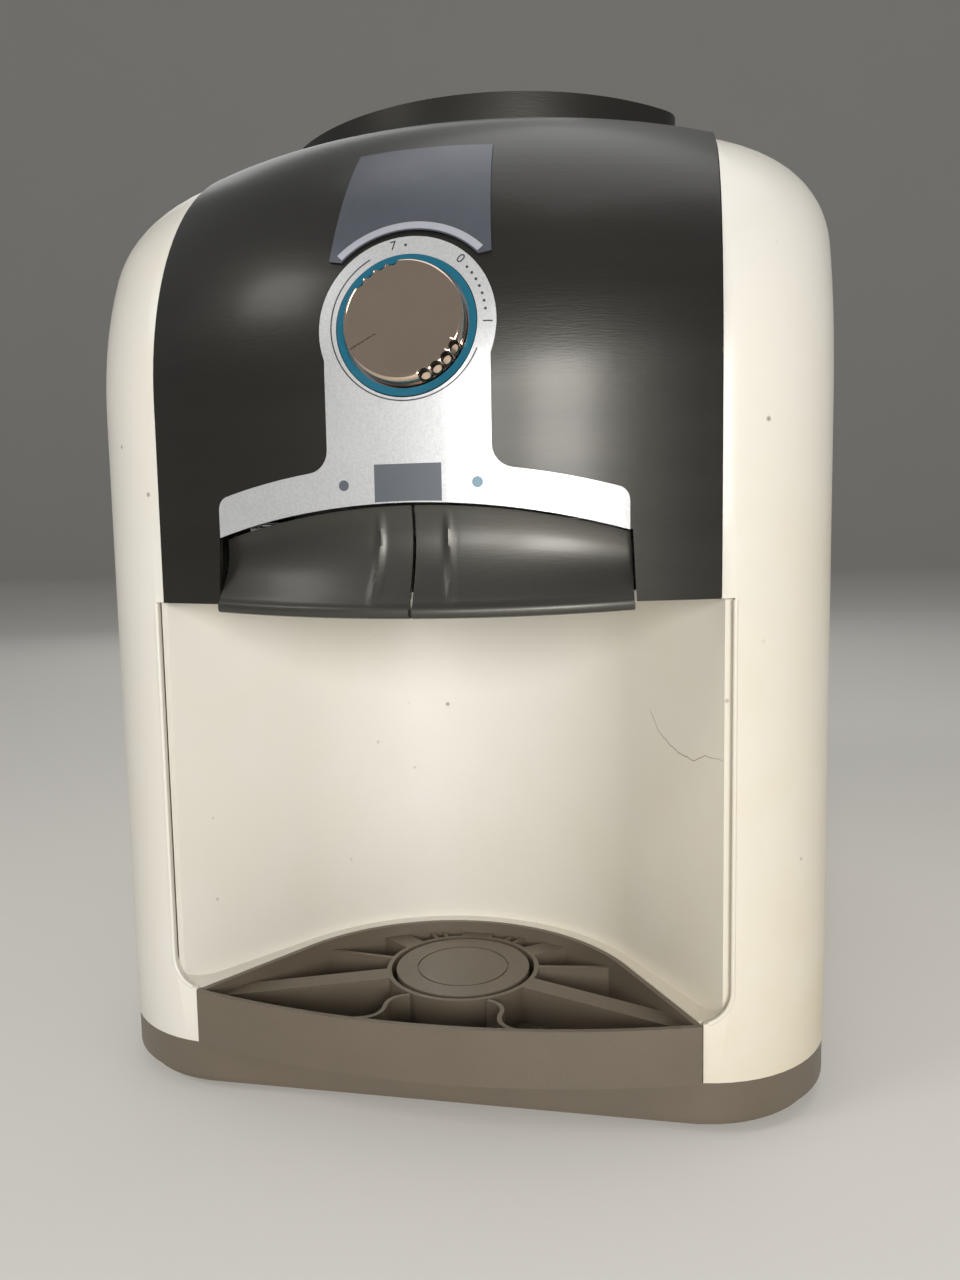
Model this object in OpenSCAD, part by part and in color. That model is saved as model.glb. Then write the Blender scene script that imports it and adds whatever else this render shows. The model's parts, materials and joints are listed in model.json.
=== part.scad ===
// Countertop bottled-water dispenser with a compressor-cooled tank and two press taps.
// X runs to the right, Y runs back, Z runs up. The origin is on the ground, under the
// middle of the body's box. The modules are drawn from the front face and then shifted.

/* [Cabinet] */
// Overall width of the cabinet
cab_w = 310; // [290:2:372]
// Front face to the rear edge of the side panels
cab_d = 372; // [372:2:440]
// Height of the flat top above the ground
cab_top = 411; // [408:1:440]
// Radius of the upright front corners, in plan
corner_r = 57; // [50:1:60]
// Radius along the outer edges of the top
shoulder_r = 65; // [50:1:80]
// Radius with which the white front rolls over into the top
brow_r = 125; // [115:1:135]
// Wall of the moulded shells
shell_t = 3; // [2:0.5:4]
// Front face to the joint between front housing and side panels
part_y = 60; // [58:1:80]

/* [Base] */
// Height of the base's top edge above the ground
base_h = 22; // [20:0.5:30]
// Height of the crease above the base's tapered foot
base_crease = 7; // [6:0.5:10]
// How far the foot stands in from the crease
base_inset = 4; // [2:0.5:8]
// Wall of the base
base_t = 2.5; // [2:0.5:4]
// Height of the rubber feet
foot_h = 3; // [2:0.5:6]
// Diameter of the rubber feet
foot_d = 24; // [16:1:30]

/* [Alcove] */
// Radius of the hollow back wall
alcove_r = 90; // [80:1:94]
// Front face to the centre of the hollow back wall
alcove_y = 6; // [0:1:10]
// White strip beside the alcove
alcove_side = 41; // [38:1:50]
// Height of the alcove's lower edge
alcove_z = 45; // [42:1:60]
// Height of the alcove's ceiling
alcove_top = 207; // [200:1:212]
// Radius of the alcove's lower corners
alcove_fillet = 13; // [8:1:20]
// Wall of the alcove liner
liner_t = 2.5; // [2:0.5:4]
// Thickness of the shelf that carries the taps
shelf_t = 3; // [2:0.5:4]

/* [Drip tray] */
// Radius of the tray's round back
tray_r = 85; // [75:1:86]
// Front face to the centre of that round back
tray_y = 5; // [0:1:8]
// Alcove edge to the tray's corner
tray_side = 11; // [10:1:20]
// How far the tray's front stands out
tray_bulge = 15.5; // [10:0.5:20]
// Wall of the tray
tray_t = 2.2; // [1.5:0.1:3]
// Clearance all round the tray
tray_gap = 0.5; // [0.3:0.1:1]
// Height of the ribs and the round cup rest above the ground
tray_rib_z = 40; // [36:1:43]
// Radius of the round cup rest
rest_r = 29.7; // [25:0.1:32]
// Front face to the centre of the cup rest
rest_y = 50; // [46:1:52]
// Travel of the tray when it is drawn out
tray_travel = 100; // [60:5:140]

/* [Front panel] */
// Radius of the panel in plan
panel_r = 260; // [240:5:300]
// How far the panel bulges ahead of the white front
panel_bulge = 25; // [20:0.5:28]
// Radius with which the panel rolls over into the top
panel_brow = 127; // [115:1:132]
// How far the panel's crown rises over the flat top
panel_crown = 2; // [1:0.5:4]
// White strip beside the panel
flank = 46; // [44:1:60]
// Thickness of the panel
panel_t = 2.5; // [2:0.5:3]
// Thickness of the glued label and name plates
plate_t = 1; // [0.6:0.1:1.5]
// Clearance between panel parts
panel_gap = 0.3; // [0.3:0.1:0.8]
// Height of the dial's centre
dial_z = 305; // [298:1:312]
// Radius of the label's round head
dial_r = 32; // [28:0.5:36]

/* [Knob] */
// Radius of the knob
knob_r = 21.5; // [18:0.5:22]
// Height of the knob's face over the panel
knob_h = 5; // [4.5:0.5:12]
// Width of the coloured ring around the knob
ring_w = 2.6; // [2:0.1:4]
// Radial gap between the knob and the ring
knob_gap = 1.1; // [0.5:0.1:2]
// Diameter of the thermostat's shaft
shaft_d = 6; // [5:0.5:8]
// Radial running clearance of the shaft
shaft_fit = 0.03; // [0.01:0.01:0.05]
// Angle of the pointer, clockwise from the top
knob_rest = 240; // [0:5:355]

/* [Paddles] */
// Height of the paddles' crown at the middle
paddle_top = 242.5; // [236:0.5:246]
// Height of the paddles' lower edge
paddle_low = 202; // [200:0.5:206]
// Radius of the arc over the paddles
paddle_arc = 275; // [220:5:320]
// Half width of the pair at the lower edge
paddle_half = 78.6; // [70:0.1:80]
// Gap between the paddles, and around them
paddle_gap = 1.2; // [0.8:0.1:2]
// Wall of the paddles
paddle_t = 3; // [2:0.5:4]
// Angle of a full press
paddle_press = 8; // [4:0.5:9]
// Diameter of the hinge pins
pin_d = 3; // [2.5:0.5:4]
// Radial running clearance of the pins
pin_fit = 0.05; // [0.02:0.01:0.08]

/* [Taps] */
// Middle of the front to each tap's centre
tap_x = 38; // [32:1:44]
// Height of the tap's axis over its shelf
tap_rise = 9.5; // [9:0.5:12]
// Radius of the tap's barrel
tap_r = 8; // [7:0.5:9]
// Front face to the nozzle
nozzle_y = 46; // [44:1:52]
// Length of the nozzle under the shelf
nozzle_drop = 9; // [4:1:9]
// Bore of the nozzle
nozzle_d = 6; // [5:0.5:7]
// Diameter of the valve stem
stem_d = 6; // [5:0.5:7]
// Radial clearance of the valve stem
stem_fit = 0.05; // [0.02:0.01:0.08]
// Travel of the valve stem
stem_travel = 3; // [2:0.1:4]

/* [Bottle seat] */
// Radius of the collar
collar_r = 125; // [118:1:128]
// Half width between the collar's flat sides
collar_half = 94; // [88:1:98]
// Height of the collar's rim over the flat top
collar_h = 19; // [14:1:26]
// Wall of the collar
collar_t = 3; // [2:0.5:4]
// Front face to the middle of the collar and of the tank
tank_y = 214.6; // [212:0.2:218]
// Inner radius of the collar's neck
neck_r = 31.5; // [29:0.5:34]

/* [Cold tank] */
// Radius of the steel tank
tank_r = 70; // [60:1:74]
// Height of the tank's floor above the ground
tank_z = 195; // [192:1:200]
// Height of the tank
tank_h = 150; // [130:1:155]
// Outer radius of the foam jacket
foam_r = 96; // [92:1:98]
// Radius of the evaporator tube
evap_r = 3; // [2:0.5:3.5]

/* [Cooling] */
// Front face to the compressor's centre
comp_y = 272; // [268:1:276]
// Radius of the compressor's shell
comp_r = 66; // [58:1:68]
// Height of the compressor
comp_h = 130; // [110:1:140]
// Rear edge of the cabinet to the condenser's tubes
cond_gap = 20; // [16:1:26]
// Rear edge of the cabinet to the wall side of the spacers
rear_gap = 36; // [32:1:50]

/* [Hidden] */
$fn = 96;
eps = 0.01;
seat = 0.2;                 // clearance between shells that locate each other
half_w = cab_w / 2;
brow_z = cab_top - brow_r;
alcove_half = half_w - alcove_side;
tray_half = alcove_half - tray_side;
tray_floor = base_h + 0.3;
tray_front_r = (pow(tray_half, 2) + pow(tray_bulge, 2)) / (2 * tray_bulge);
panel_half = half_w - flank;
panel_cy = panel_r - panel_bulge;
panel_z = cab_top + panel_crown - panel_brow;
panel_back = brow_r + 1;
tilt = asin((dial_z - panel_z) / panel_brow);
dial_y = panel_cy - (panel_r - panel_brow) - panel_brow * cos(tilt);
ring_in = knob_r + knob_gap;
ring_out = ring_in + ring_w;
bezel_floor = -4;
rail_z = cab_top - 49;
knob_edge = 1;
thermo_z = -14;
shelf_z = alcove_top;
tap_z = shelf_z + shelf_t + tap_rise;
hinge_y = 4;
hinge_z = paddle_top - 4.5;
pad_y = -8;                 // rear face of the pad that pushes the stem
ear_x = [14, 66];
ear_w = 4;
lug_w = 3;
stem_tip = pad_y + 0.3;
gland = [nozzle_y - 14, nozzle_y - 6];
seat_y = nozzle_y + 8;
chamber = [seat_y, seat_y + 26];
chamber_r = tap_r - 2;
tap_end = chamber[1] + 4;
barb = [tap_end, tap_end + 12];
barb_r = 5;
collar_top = cab_top + collar_h;
curb_z = cab_top + panel_crown + 0.6;
neck_z = [cab_top - 26, cab_top - 13];
tank_t = 0.8;
tank_top = tank_z + tank_h;
foam_floor = 17;
foam_in = tank_r + 2 * evap_r + 2;
evap_low = tank_z + 36;
foam_top = tank_top + 27;
rack_z = tank_z - foam_floor - 2;
deck_y = 100;               // rear edge of the deck under the alcove
plate_z = 16;
comp_z = plate_z + 2.5;
cond_y = cab_d + cond_gap;
cond_r = 2.4;
cond_half = 112;
cond_rows = 9;
cond_low = 110;
cond_step = 33;
wire_r = 0.8;
back_y = cab_d - 3;         // front of the back panel
back_t = 1.2;
rear_y = cab_d + rear_gap;
front_y = dial_y - knob_h * cos(tilt) - (knob_r - knob_edge) * sin(tilt);
mid_y = (front_y + rear_y) / 2;
gland_x = -105;
gland_z = 45;
gland_r = 6.3;
relief_len = 30;
cord_r = 3.5;
// cord route from the strain relief down to the ground behind the cabinet
cord_path = [[-105, 400, 45], [-105, 408, 45], [-105, 416, 44], [-105, 424, 42], [-105, 433, 37], [-104, 441, 31],
    [-103, 449, 24], [-101, 457, 17], [-98, 464, 11], [-93, 471, 7], [-86, 477, 4.5], [-77, 482, 3.6],
    [-66, 485, 3.6], [-54, 486, 3.6], [-40, 486, 3.6], [-26, 486, 3.6], [-12, 486, 3.6]];
tail_path = [[30, 484, 10.6], [38, 482, 10.4], [46, 479, 10], [54, 476, 9.6], [62, 473, 9.4], [70, 471, 9.2], [76, 470, 9.2]];
coil_at = [10, 440];
coil_in = 28.5;
coil_out = 49.5;
coil_h = 14.1;
plug_at = [76, 470, 9.2];
pin_r = 2;

// Moves a piece from the front face's coordinates to the part's own origin
module at_front() { translate([0, -mid_y, 0]) children(); }

// Frame on the panel at the dial: Z points out of the panel, Y up along it
module on_dial() { translate([0, dial_y, dial_z]) rotate([90 - tilt, 0, 0]) children(); }

// Turns an outline drawn in X and Z into a bar along Y
module front_cut(y0, y1) { translate([0, y1, 0]) rotate([90, 0, 0]) linear_extrude(y1 - y0) children(); }

// Turns an outline drawn in Y and Z into a bar along X
module side_cut(x0, x1) {
    translate([x0, 0, 0]) rotate([90, 0, 90]) linear_extrude(x1 - x0) children();
}

// A straight rod along Y
module rod_y(r, y0, y1) { translate([0, y1, 0]) rotate([90, 0, 0]) cylinder(r = r, h = y1 - y0); }

// A straight rod along X
module rod_x(r, x0, x1) { translate([x0, 0, 0]) rotate([0, 90, 0]) cylinder(r = r, h = x1 - x0); }

// Points of an arc about c, from angle a to angle b
function arc(c, r, a, b, n) = [for (k = [0:n]) let (t = a + (b - a) * k / n) c + r * [cos(t), sin(t)]];

// Points of an arc from a to b that bows by s to the left of the way from a to b
function bow(a, b, s, n) = [for (k = [0:n]) let (t = k / n, d = (b - a) / norm(b - a))
    a + (b - a) * t + 4 * s * t * (1 - t) * [-d[1], d[0]]];

function mirrored(p) = [for (k = [len(p) - 1:-1:0]) [-p[k][0], p[k][1]]];

function unit(v) = v / norm(v);
function tangent(p, i) = unit(p[min(i + 1, len(p) - 1)] - p[max(i - 1, 0)]);
function carried(v, t) = unit(v - (v * t) * t);
function across(t) = unit(cross(t, abs(t[2]) > 0.9 ? [1, 0, 0] : [0, 0, 1]));

// Rounds the corners of a route, which keeps its two ends
function bend(p, n = 6) = concat([p[0]], [for (i = [1:len(p) - 2])
    let (a = i == 1 ? p[0] : (p[i - 1] + p[i]) / 2, c = i == len(p) - 2 ? p[i + 1] : (p[i] + p[i + 1]) / 2)
    for (k = [1:n]) let (t = k / n) (1 - t) * (1 - t) * a + 2 * t * (1 - t) * p[i] + t * t * c]);

// Helix about Z: radius r, from height z0 to z1
function helix(r, z0, z1, turns, n) = [for (k = [0:n * turns])
    [r * cos(360 * k / n), r * sin(360 * k / n), z0 + (z1 - z0) * k / (n * turns)]];

// A round tube of radius r swept along the points p
module tube(p, r, sides = 10) {
    n = len(p);
    side = [for (i = 0, v = across(tangent(p, 0)); i < n; i = i + 1, v = carried(v, tangent(p, min(i, n - 1)))) v];
    pts = [for (i = [0:n - 1]) let (b = cross(tangent(p, i), side[i])) for (k = [0:sides - 1])
        p[i] + r * (cos(360 * k / sides) * side[i] + sin(360 * k / sides) * b)];
    walls = [for (i = [0:n - 2]) for (k = [0:sides - 1]) let (m = (k + 1) % sides)
        [i * sides + k, (i + 1) * sides + k, (i + 1) * sides + m, i * sides + m]];
    caps = [[for (k = [0:sides - 1]) k], [for (k = [sides - 1:-1:0]) (n - 1) * sides + k]];
    polyhedron(points = pts, faces = concat(caps, walls));
}

// ---- shared outlines ----

// Cabinet in plan, drawn in by i
module plan_outline(i) {
    for (s = [-1, 1]) translate([s * (half_w - corner_r), corner_r]) circle(corner_r - i);
    translate([i - half_w, corner_r]) square([cab_w - 2 * i, cab_d - corner_r]);
    translate([corner_r - half_w, i]) square([cab_w - 2 * corner_r, corner_r]);
}

// Cabinet from the front, drawn in by i
module front_outline(i) {
    for (s = [-1, 1]) translate([s * (half_w - shoulder_r), cab_top - shoulder_r]) circle(shoulder_r - i);
    translate([i - half_w, 0]) square([cab_w - 2 * i, cab_top - shoulder_r]);
    translate([shoulder_r - half_w, 0]) square([cab_w - 2 * shoulder_r, cab_top - i]);
}

// Cabinet from the side, drawn in by i
module side_outline(i) {
    translate([brow_r, brow_z]) circle(brow_r - i);
    translate([i, 0]) square([cab_d, brow_z]);
    translate([brow_r, 0]) square([cab_d, cab_top - i]);
}

// The whole cabinet as one block, drawn in by i, between two heights
module cabinet_block(i, z0, z1) {
    intersection() {
        translate([0, 0, z0]) linear_extrude(z1 - z0) plan_outline(i);
        front_cut(-1, cab_d + 1) front_outline(i);
        side_cut(-half_w, half_w) side_outline(i);
    }
}

module cabinet_shell(z0, z1) {
    difference() {
        cabinet_block(0, z0, z1);
        cabinet_block(shell_t, z0 - 1, z1 + 1);
    }
}

// Plan of a round back with straight sides that run tangent to the corners [px, 0]
function hollow_sides(r, cy, px, front) = let (reach = norm([px, cy]),
    a = 90 + asin(cy / reach) - acos(r / reach), t = [0.9995 * r * sin(a), cy + 0.9995 * r * cos(a)])
    [t, [px, 0], [px, front], [-px, front], [-px, 0], [-t[0], t[1]]];

module hollow_plan(r, cy, px, front) {
    translate([0, cy]) intersection() {
        circle(r);
        translate([-2 * r, front - cy]) square([4 * r, 3 * r]);
    }
    polygon(hollow_sides(r, cy, px, front));
}

// The same outline as one block of height h
module hollow_block(r, cy, px, front, h) {
    intersection() {
        translate([0, cy, 0]) cylinder(r = r, h = h);
        translate([-2 * r, front, -1]) cube([4 * r, 3 * r, h + 2]);
    }
    linear_extrude(h) polygon(hollow_sides(r, cy, px, front));
}

// The alcove's air space, with rounded lower corners
module alcove_space() {
    intersection() {
        translate([0, 0, alcove_z]) linear_extrude(shelf_z - alcove_z)
            hollow_plan(alcove_r, alcove_y, alcove_half, -30);
        front_cut(-40, alcove_r + alcove_y + 10) {
            for (s = [-1, 1]) translate([s * (alcove_half - alcove_fillet), alcove_z + alcove_fillet])
                circle(alcove_fillet);
            translate([-alcove_half, alcove_z + alcove_fillet]) square([2 * alcove_half, shelf_z]);
            translate([alcove_fillet - alcove_half, alcove_z])
                square([2 * (alcove_half - alcove_fillet), alcove_fillet]);
        }
    }
}

// The pocket that the tray slides into
module tray_pocket() {
    translate([0, 0, base_h - 1]) linear_extrude(alcove_z - base_h + 1 + eps)
        hollow_plan(tray_r + tray_gap, tray_y, tray_half + tray_gap, -30);
}

// Section of the front panel about its upright axis, drawn in by i
module panel_section(i, low) {
    rim = panel_r - panel_brow;
    translate([rim, panel_z]) intersection() {
        circle(panel_brow - i, $fn = 180);
        translate([-rim, 0]) square([panel_r + 20, panel_r]);
    }
    translate([0, low]) square([panel_r - i, panel_z - low]);
    translate([0, low]) square([rim, panel_z + panel_brow - i - low]);
}

// A layer of the panel's curved surface, from i0 to i1 below the outer face
module panel_layer(i0, i1, low) {
    translate([0, panel_cy, 0]) rotate([0, 0, 180]) rotate_extrude() difference() {
        panel_section(i0, low);
        panel_section(i1, low - 1);
    }
}

// The zone of the two paddles from the front, grown by g
module paddle_zone(g) {
    taper = 0.055;
    lift = 60;
    intersection() {
        translate([0, paddle_top - paddle_arc]) circle(paddle_arc + g, $fn = 240);
        polygon([[-paddle_half - g, paddle_low - g - 6], [paddle_half + g, paddle_low - g - 6],
            [paddle_half + g - taper * lift, paddle_low + lift], [taper * lift - paddle_half - g, paddle_low + lift]]);
    }
}

// The collar's outline: a circle with two flat sides and rounded corners, grown by g
module collar_outline(g) {
    r = collar_r + g;
    round_r = 15 + g;
    step = 0.02;                // keeps the corner arcs a hair inside their neighbours
    cx = collar_half + g - round_r - step;
    cy = sqrt(pow(r - round_r - step, 2) - pow(cx, 2));
    far = 1.6 * r / (r - round_r);
    intersection() {
        circle(r, $fn = 180);
        union() {
            polygon([[0, 0], far * [cx, cy], far * [-cx, cy]]);
            polygon([[0, 0], far * [cx, -cy], far * [-cx, -cy]]);
        }
    }
    for (s = [-1, 1], t = [-1, 1]) translate([s * cx, t * cy]) circle(round_r);
    square([2 * (collar_half + g), 2 * cy], center = true);
}

// Label outline, right half, from the lower edge round to the top of the head
function label_half() =
    let (c = [0, paddle_top - paddle_arc], low = paddle_arc + 0.8, high = paddle_arc + 14.5,
        edge = paddle_half - 1.6, corner = 5, neck = 30, fillet = 8,
        kx = edge - corner, kz = sqrt(pow(high - corner, 2) - pow(kx, 2)),
        fx = neck + fillet, fz = sqrt(pow(high + fillet, 2) - pow(fx, 2)))
    concat(arc(c, low, 89.8, acos(edge / low), 12),
        arc(c + [kx, kz], corner, 0, atan2(kz, kx), 6),
        arc(c, high, atan2(kz, kx), atan2(fz, fx), 6),
        arc(c + [fx, fz], fillet, atan2(fz, fx) + 180, 180, 6),
        arc([0, dial_z], dial_r, -acos(neck / dial_r), 88, 24));

// ---- cabinet ----

module base_pan() color([0.37, 0.34, 0.30]) at_front() {
    difference() {
        union() {
            translate([0, 0, base_crease]) linear_extrude(base_h - base_crease) plan_outline(0.5);
            translate([0, 0, foot_h]) linear_extrude(base_crease - foot_h) plan_outline(base_inset);
        }
        // open well for the compressor
        translate([0, 0, foot_h + base_t]) intersection() {
            linear_extrude(base_h) plan_outline(base_inset + base_t);
            translate([-half_w, deck_y, 0]) cube([cab_w, cab_d - deck_y - base_t, base_h]);
        }
        // hollow under the deck
        translate([0, 0, foot_h - 1]) intersection() {
            linear_extrude(base_h - foot_h - base_t + 1) plan_outline(base_inset + base_t);
            translate([-half_w, 0, 0]) cube([cab_w, deck_y - base_t, base_h]);
        }
    }
    // pads inside the front corners, which carry the front feet
    for (s = [-1, 1]) translate([s * (half_w - corner_r), corner_r, foot_h])
        cylinder(d = foot_d + 4, h = base_h - foot_h - base_t + eps);
}

module rubber_feet() color([0.12, 0.12, 0.12]) at_front() {
    for (s = [-1, 1], y = [corner_r, cab_d - 35])
        translate([s * (half_w - corner_r), y, 0]) cylinder(d = foot_d, h = foot_h);
}

module panel_opening(back) {
    translate([-panel_half - panel_gap, -60, shelf_z])
        cube([2 * (panel_half + panel_gap), back + 60, cab_top]);
}

module front_housing() color([0.89, 0.87, 0.81]) at_front() {
    difference() {
        intersection() {
            cabinet_shell(base_h, cab_top);
            translate([-half_w, -1, 0]) cube([cab_w, part_y + 1, cab_top]);
        }
        alcove_space();
        tray_pocket();
        panel_opening(part_y + 1);
    }
    // cross rail behind the panel, which ties the two sides together
    intersection() {
        cabinet_block(shell_t - 0.5, rail_z, rail_z + 14);
        translate([-half_w, part_y - 8, 0]) cube([cab_w, 6, cab_top]);
    }
}

module alcove_liner() color([0.89, 0.87, 0.81]) at_front() {
    difference() {
        intersection() {
            translate([0, 0, base_h])
                hollow_block(alcove_r + liner_t, alcove_y, alcove_half + liner_t + 1, -1, shelf_z - base_h);
            cabinet_block(shell_t + seat, base_h, shelf_z);
        }
        alcove_space();
        tray_pocket();
    }
}

module tap_shelf() color([0.80, 0.80, 0.78]) at_front() {
    front_edge = hinge_y + 4;
    difference() {
        intersection() {
            translate([0, 0, shelf_z])
                hollow_block(alcove_r + liner_t, alcove_y, alcove_half + liner_t + 1, -1, shelf_t);
            translate([-half_w, front_edge, 0]) cube([cab_w, cab_d, cab_top]);
        }
        for (s = [-1, 1]) translate([s * tap_x, nozzle_y, shelf_z - 1]) cylinder(r = 6.5, h = shelf_t + 2);
    }
}

module side_panel(s) {
    intersection() {
        cabinet_shell(base_h, cab_top - shoulder_r);
        translate([s > 0 ? 0 : -half_w, part_y, 0]) cube([half_w, cab_d - part_y, cab_top]);
    }
}

module side_panel_left() color([0.86, 0.84, 0.79]) at_front() side_panel(-1);
module side_panel_right() color([0.86, 0.84, 0.79]) at_front() side_panel(1);

module top_cover() color([0.88, 0.86, 0.80]) at_front() {
    difference() {
        intersection() {
            cabinet_shell(cab_top - shoulder_r, cab_top);
            translate([-half_w, part_y, 0]) cube([cab_w, cab_d - part_y, cab_top]);
        }
        translate([0, tank_y, cab_top - 20]) linear_extrude(40) collar_outline(0.8);
        panel_opening(panel_back + panel_gap);
    }
    // curb that carries the collar's foot
    difference() {
        translate([0, tank_y, cab_top - eps]) linear_extrude(curb_z - cab_top + eps) collar_outline(4);
        translate([0, tank_y, cab_top - 20]) linear_extrude(40) collar_outline(0.8);
        panel_opening(panel_back + panel_gap);
    }
}

module back_panel() color([0.72, 0.72, 0.72]) at_front() {
    difference() {
        intersection() {
            front_cut(back_y, back_y + back_t) front_outline(shell_t + seat);
            translate([-half_w, 0, base_h]) cube([cab_w, cab_d, cab_top]);
        }
        // louvres beside the compressor
        for (x = [-60:24:84], z = [60:14:116]) translate([x, back_y - 1, z]) cube([18, 4, 5]);
        for (z = pass_z) translate([pass_x, 0, z]) rod_y(4, back_y - 1, back_y + 3);
        translate([gland_x, 0, gland_z]) rod_y(gland_r, back_y - 1, back_y + 3);
    }
}

module front_panel() color([0.20, 0.21, 0.21]) at_front() {
    difference() {
        intersection() {
            panel_layer(0, panel_t, alcove_top);
            translate([-panel_half, -60, alcove_top]) cube([2 * panel_half, panel_back + 60, cab_top]);
        }
        front_cut(-60, 40) paddle_zone(paddle_gap);
        translate([0, tank_y, dial_z + 40]) linear_extrude(cab_top) collar_outline(4.4);
        on_dial() translate([0, 0, -12]) cylinder(r = ring_out + panel_gap, h = 20);
    }
    // bosses that carry the thermostat's bracket
    on_dial() for (s = [-1, 1]) translate([s * 42, 0, thermo_z + 2]) difference() {
        cylinder(d = 9, h = 6.5);
        translate([0, 0, -1]) cylinder(d = 3, h = 5);
    }
}

module label_plate() color([0.80, 0.81, 0.82]) at_front() {
    difference() {
        intersection() {
            panel_layer(-0.1 - plate_t, -0.1, alcove_top);
            front_cut(-60, 60) polygon(concat(label_half(), mirrored(label_half())));
        }
        on_dial() translate([0, 0, -12]) cylinder(r = ring_out + panel_gap, h = 20);
    }
}

module name_plate() color([0.42, 0.46, 0.52]) at_front() {
    half = concat(arc([0, dial_z], dial_r + 2.6, 88, 44, 10),
        [[29.6, dial_z + 25], [25.7, dial_z + 72], [12, dial_z + 72.8]]);
    intersection() {
        panel_layer(-0.1 - plate_t * 0.8, -0.1, alcove_top);
        front_cut(-60, 90) polygon(concat(half, mirrored(half)));
    }
}

// ---- dial and thermostat ----

module dial_ring() color([0.0, 0.37, 0.45]) at_front() on_dial() {
    translate([0, 0, -1.4]) difference() {
        cylinder(r = ring_out, h = 1);
        translate([0, 0, -1]) cylinder(r = ring_in, h = 3);
    }
}

module knob_bezel() color([0.75, 0.76, 0.78]) at_front() on_dial() {
    difference() {
        translate([0, 0, bezel_floor]) cylinder(r = ring_out, h = -1.4 - bezel_floor);
        translate([0, 0, bezel_floor + 1.2]) cylinder(r = ring_in, h = 5);
        translate([0, 0, bezel_floor - 1]) cylinder(d = shaft_d + 1.2, h = 5);
    }
}

module knob() color([0.62, 0.56, 0.50]) at_front() on_dial() {
    back = bezel_floor + 1.7;
    socket = knob_h - back - 1.4;
    difference() {
        union() {
            translate([0, 0, back]) cylinder(r = knob_r, h = knob_h - knob_edge - back);
            translate([0, 0, knob_h - knob_edge])
                cylinder(r1 = knob_r, r2 = knob_r - knob_edge, h = knob_edge);
        }
        // grips at five and at eleven o'clock
        for (a = [-70:10:-20], t = [0, 150]) rotate([0, 0, a + t])
            translate([knob_r + 0.6, 0, 1]) cylinder(r = 1.7, h = knob_h, $fn = 24);
        // pointer slot
        rotate([0, 0, -knob_rest]) {
            translate([-0.8, 9, knob_h - 0.6]) cube([1.6, 8, 2]);
            for (y = [9, 17]) translate([0, y, knob_h - 0.6]) cylinder(r = 0.8, h = 2, $fn = 24);
        }
        // hollow back around the socket
        translate([0, 0, back - 1]) difference() {
            cylinder(r = knob_r - 4, h = socket);
            cylinder(d = shaft_d + 5, h = socket);
        }
        translate([0, 0, back - 1]) cylinder(d = shaft_d, h = socket);
    }
}

module thermostat_shaft() color([0.7, 0.7, 0.72]) at_front() on_dial()
    translate([0, 0, thermo_z - 12]) cylinder(d = shaft_d, h = 12 - thermo_z + knob_h - 3);

module thermostat_body() color([0.25, 0.25, 0.27]) at_front() on_dial() difference() {
    union() {
        translate([-21, -14, thermo_z - 26]) cube([42, 28, 26]);
        translate([0, 0, thermo_z - eps]) cylinder(d = 11, h = 7);
    }
    translate([0, 0, thermo_z - 13]) cylinder(r = shaft_d / 2 + shaft_fit, h = 30);
}

module thermostat_bracket() color([0.72, 0.73, 0.74]) at_front() on_dial() difference() {
    translate([-50, -13, thermo_z]) cube([100, 26, 2]);
    translate([0, 0, thermo_z - 1]) cylinder(d = 11.4, h = 4);
    for (s = [-1, 1]) translate([s * 42, 0, thermo_z - 1]) cylinder(d = 3.4, h = 4);
}

module thermostat_nut() color([0.75, 0.70, 0.5]) at_front() on_dial() difference() {
    translate([0, 0, thermo_z + 2]) cylinder(d = 18, h = 3, $fn = 6);
    translate([0, 0, thermo_z + 1]) cylinder(d = 11.1, h = 5);
}

// ---- paddles and taps ----

// Section of a paddle about the panel's upright axis
function paddle_points() =
    let (face = panel_r - 5.5, lip = panel_r + 1.5, t = paddle_t, z0 = paddle_low, z1 = paddle_top + 2)
    concat(bow([face, z1], [lip, z0 + 5], -2, 8),
        [[lip + 1.4, z0 + 3.4], [lip + 1.2, z0 + 1], [lip, z0]],
        [[lip - 9, z0], [lip - 9, z0 + 2.2], [lip - t, z0 + 2.2]],
        bow([lip - t, z0 + 6], [face - t, z1], 2, 8));

module paddle(s) {
    intersection() {
        translate([0, panel_cy, 0]) rotate([0, 0, 180]) rotate_extrude() polygon(paddle_points());
        front_cut(-60, 40) intersection() {
            paddle_zone(0);
            translate([s > 0 ? paddle_gap / 2 : -cab_w - paddle_gap / 2, paddle_low]) square([cab_w, 60]);
        }
        translate([-cab_w, -60, 0]) cube([2 * cab_w, 100, cab_top]);
    }
    // hinge ears
    difference() {
        intersection() {
            union() for (x = ear_x) translate([s * x - ear_w / 2, 0, 0]) {
                translate([0, hinge_y, hinge_z]) rod_x(4, 0, ear_w);
                side_cut(0, ear_w) polygon([[-24, hinge_z - 10], [-24, hinge_z + 1], [hinge_y, hinge_z + 4],
                    [hinge_y, hinge_z - 4]]);
            }
            translate([0, panel_cy, 0]) cylinder(r = panel_r - 5.5 - paddle_t / 2, h = cab_top, $fn = 180);
        }
        translate([0, hinge_y, hinge_z]) rod_x(pin_d / 2 + pin_fit, -half_w, half_w);
    }
    // pad that pushes the valve stem
    intersection() {
        translate([s * tap_x, 0, tap_z]) rod_y(6, -26, pad_y);
        translate([0, panel_cy, 0]) cylinder(r = panel_r - 5.2, h = cab_top, $fn = 180);
    }
}

module left_paddle() color([0.27, 0.28, 0.28]) at_front() paddle(-1);
module right_paddle() color([0.27, 0.28, 0.28]) at_front() paddle(1);

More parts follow.
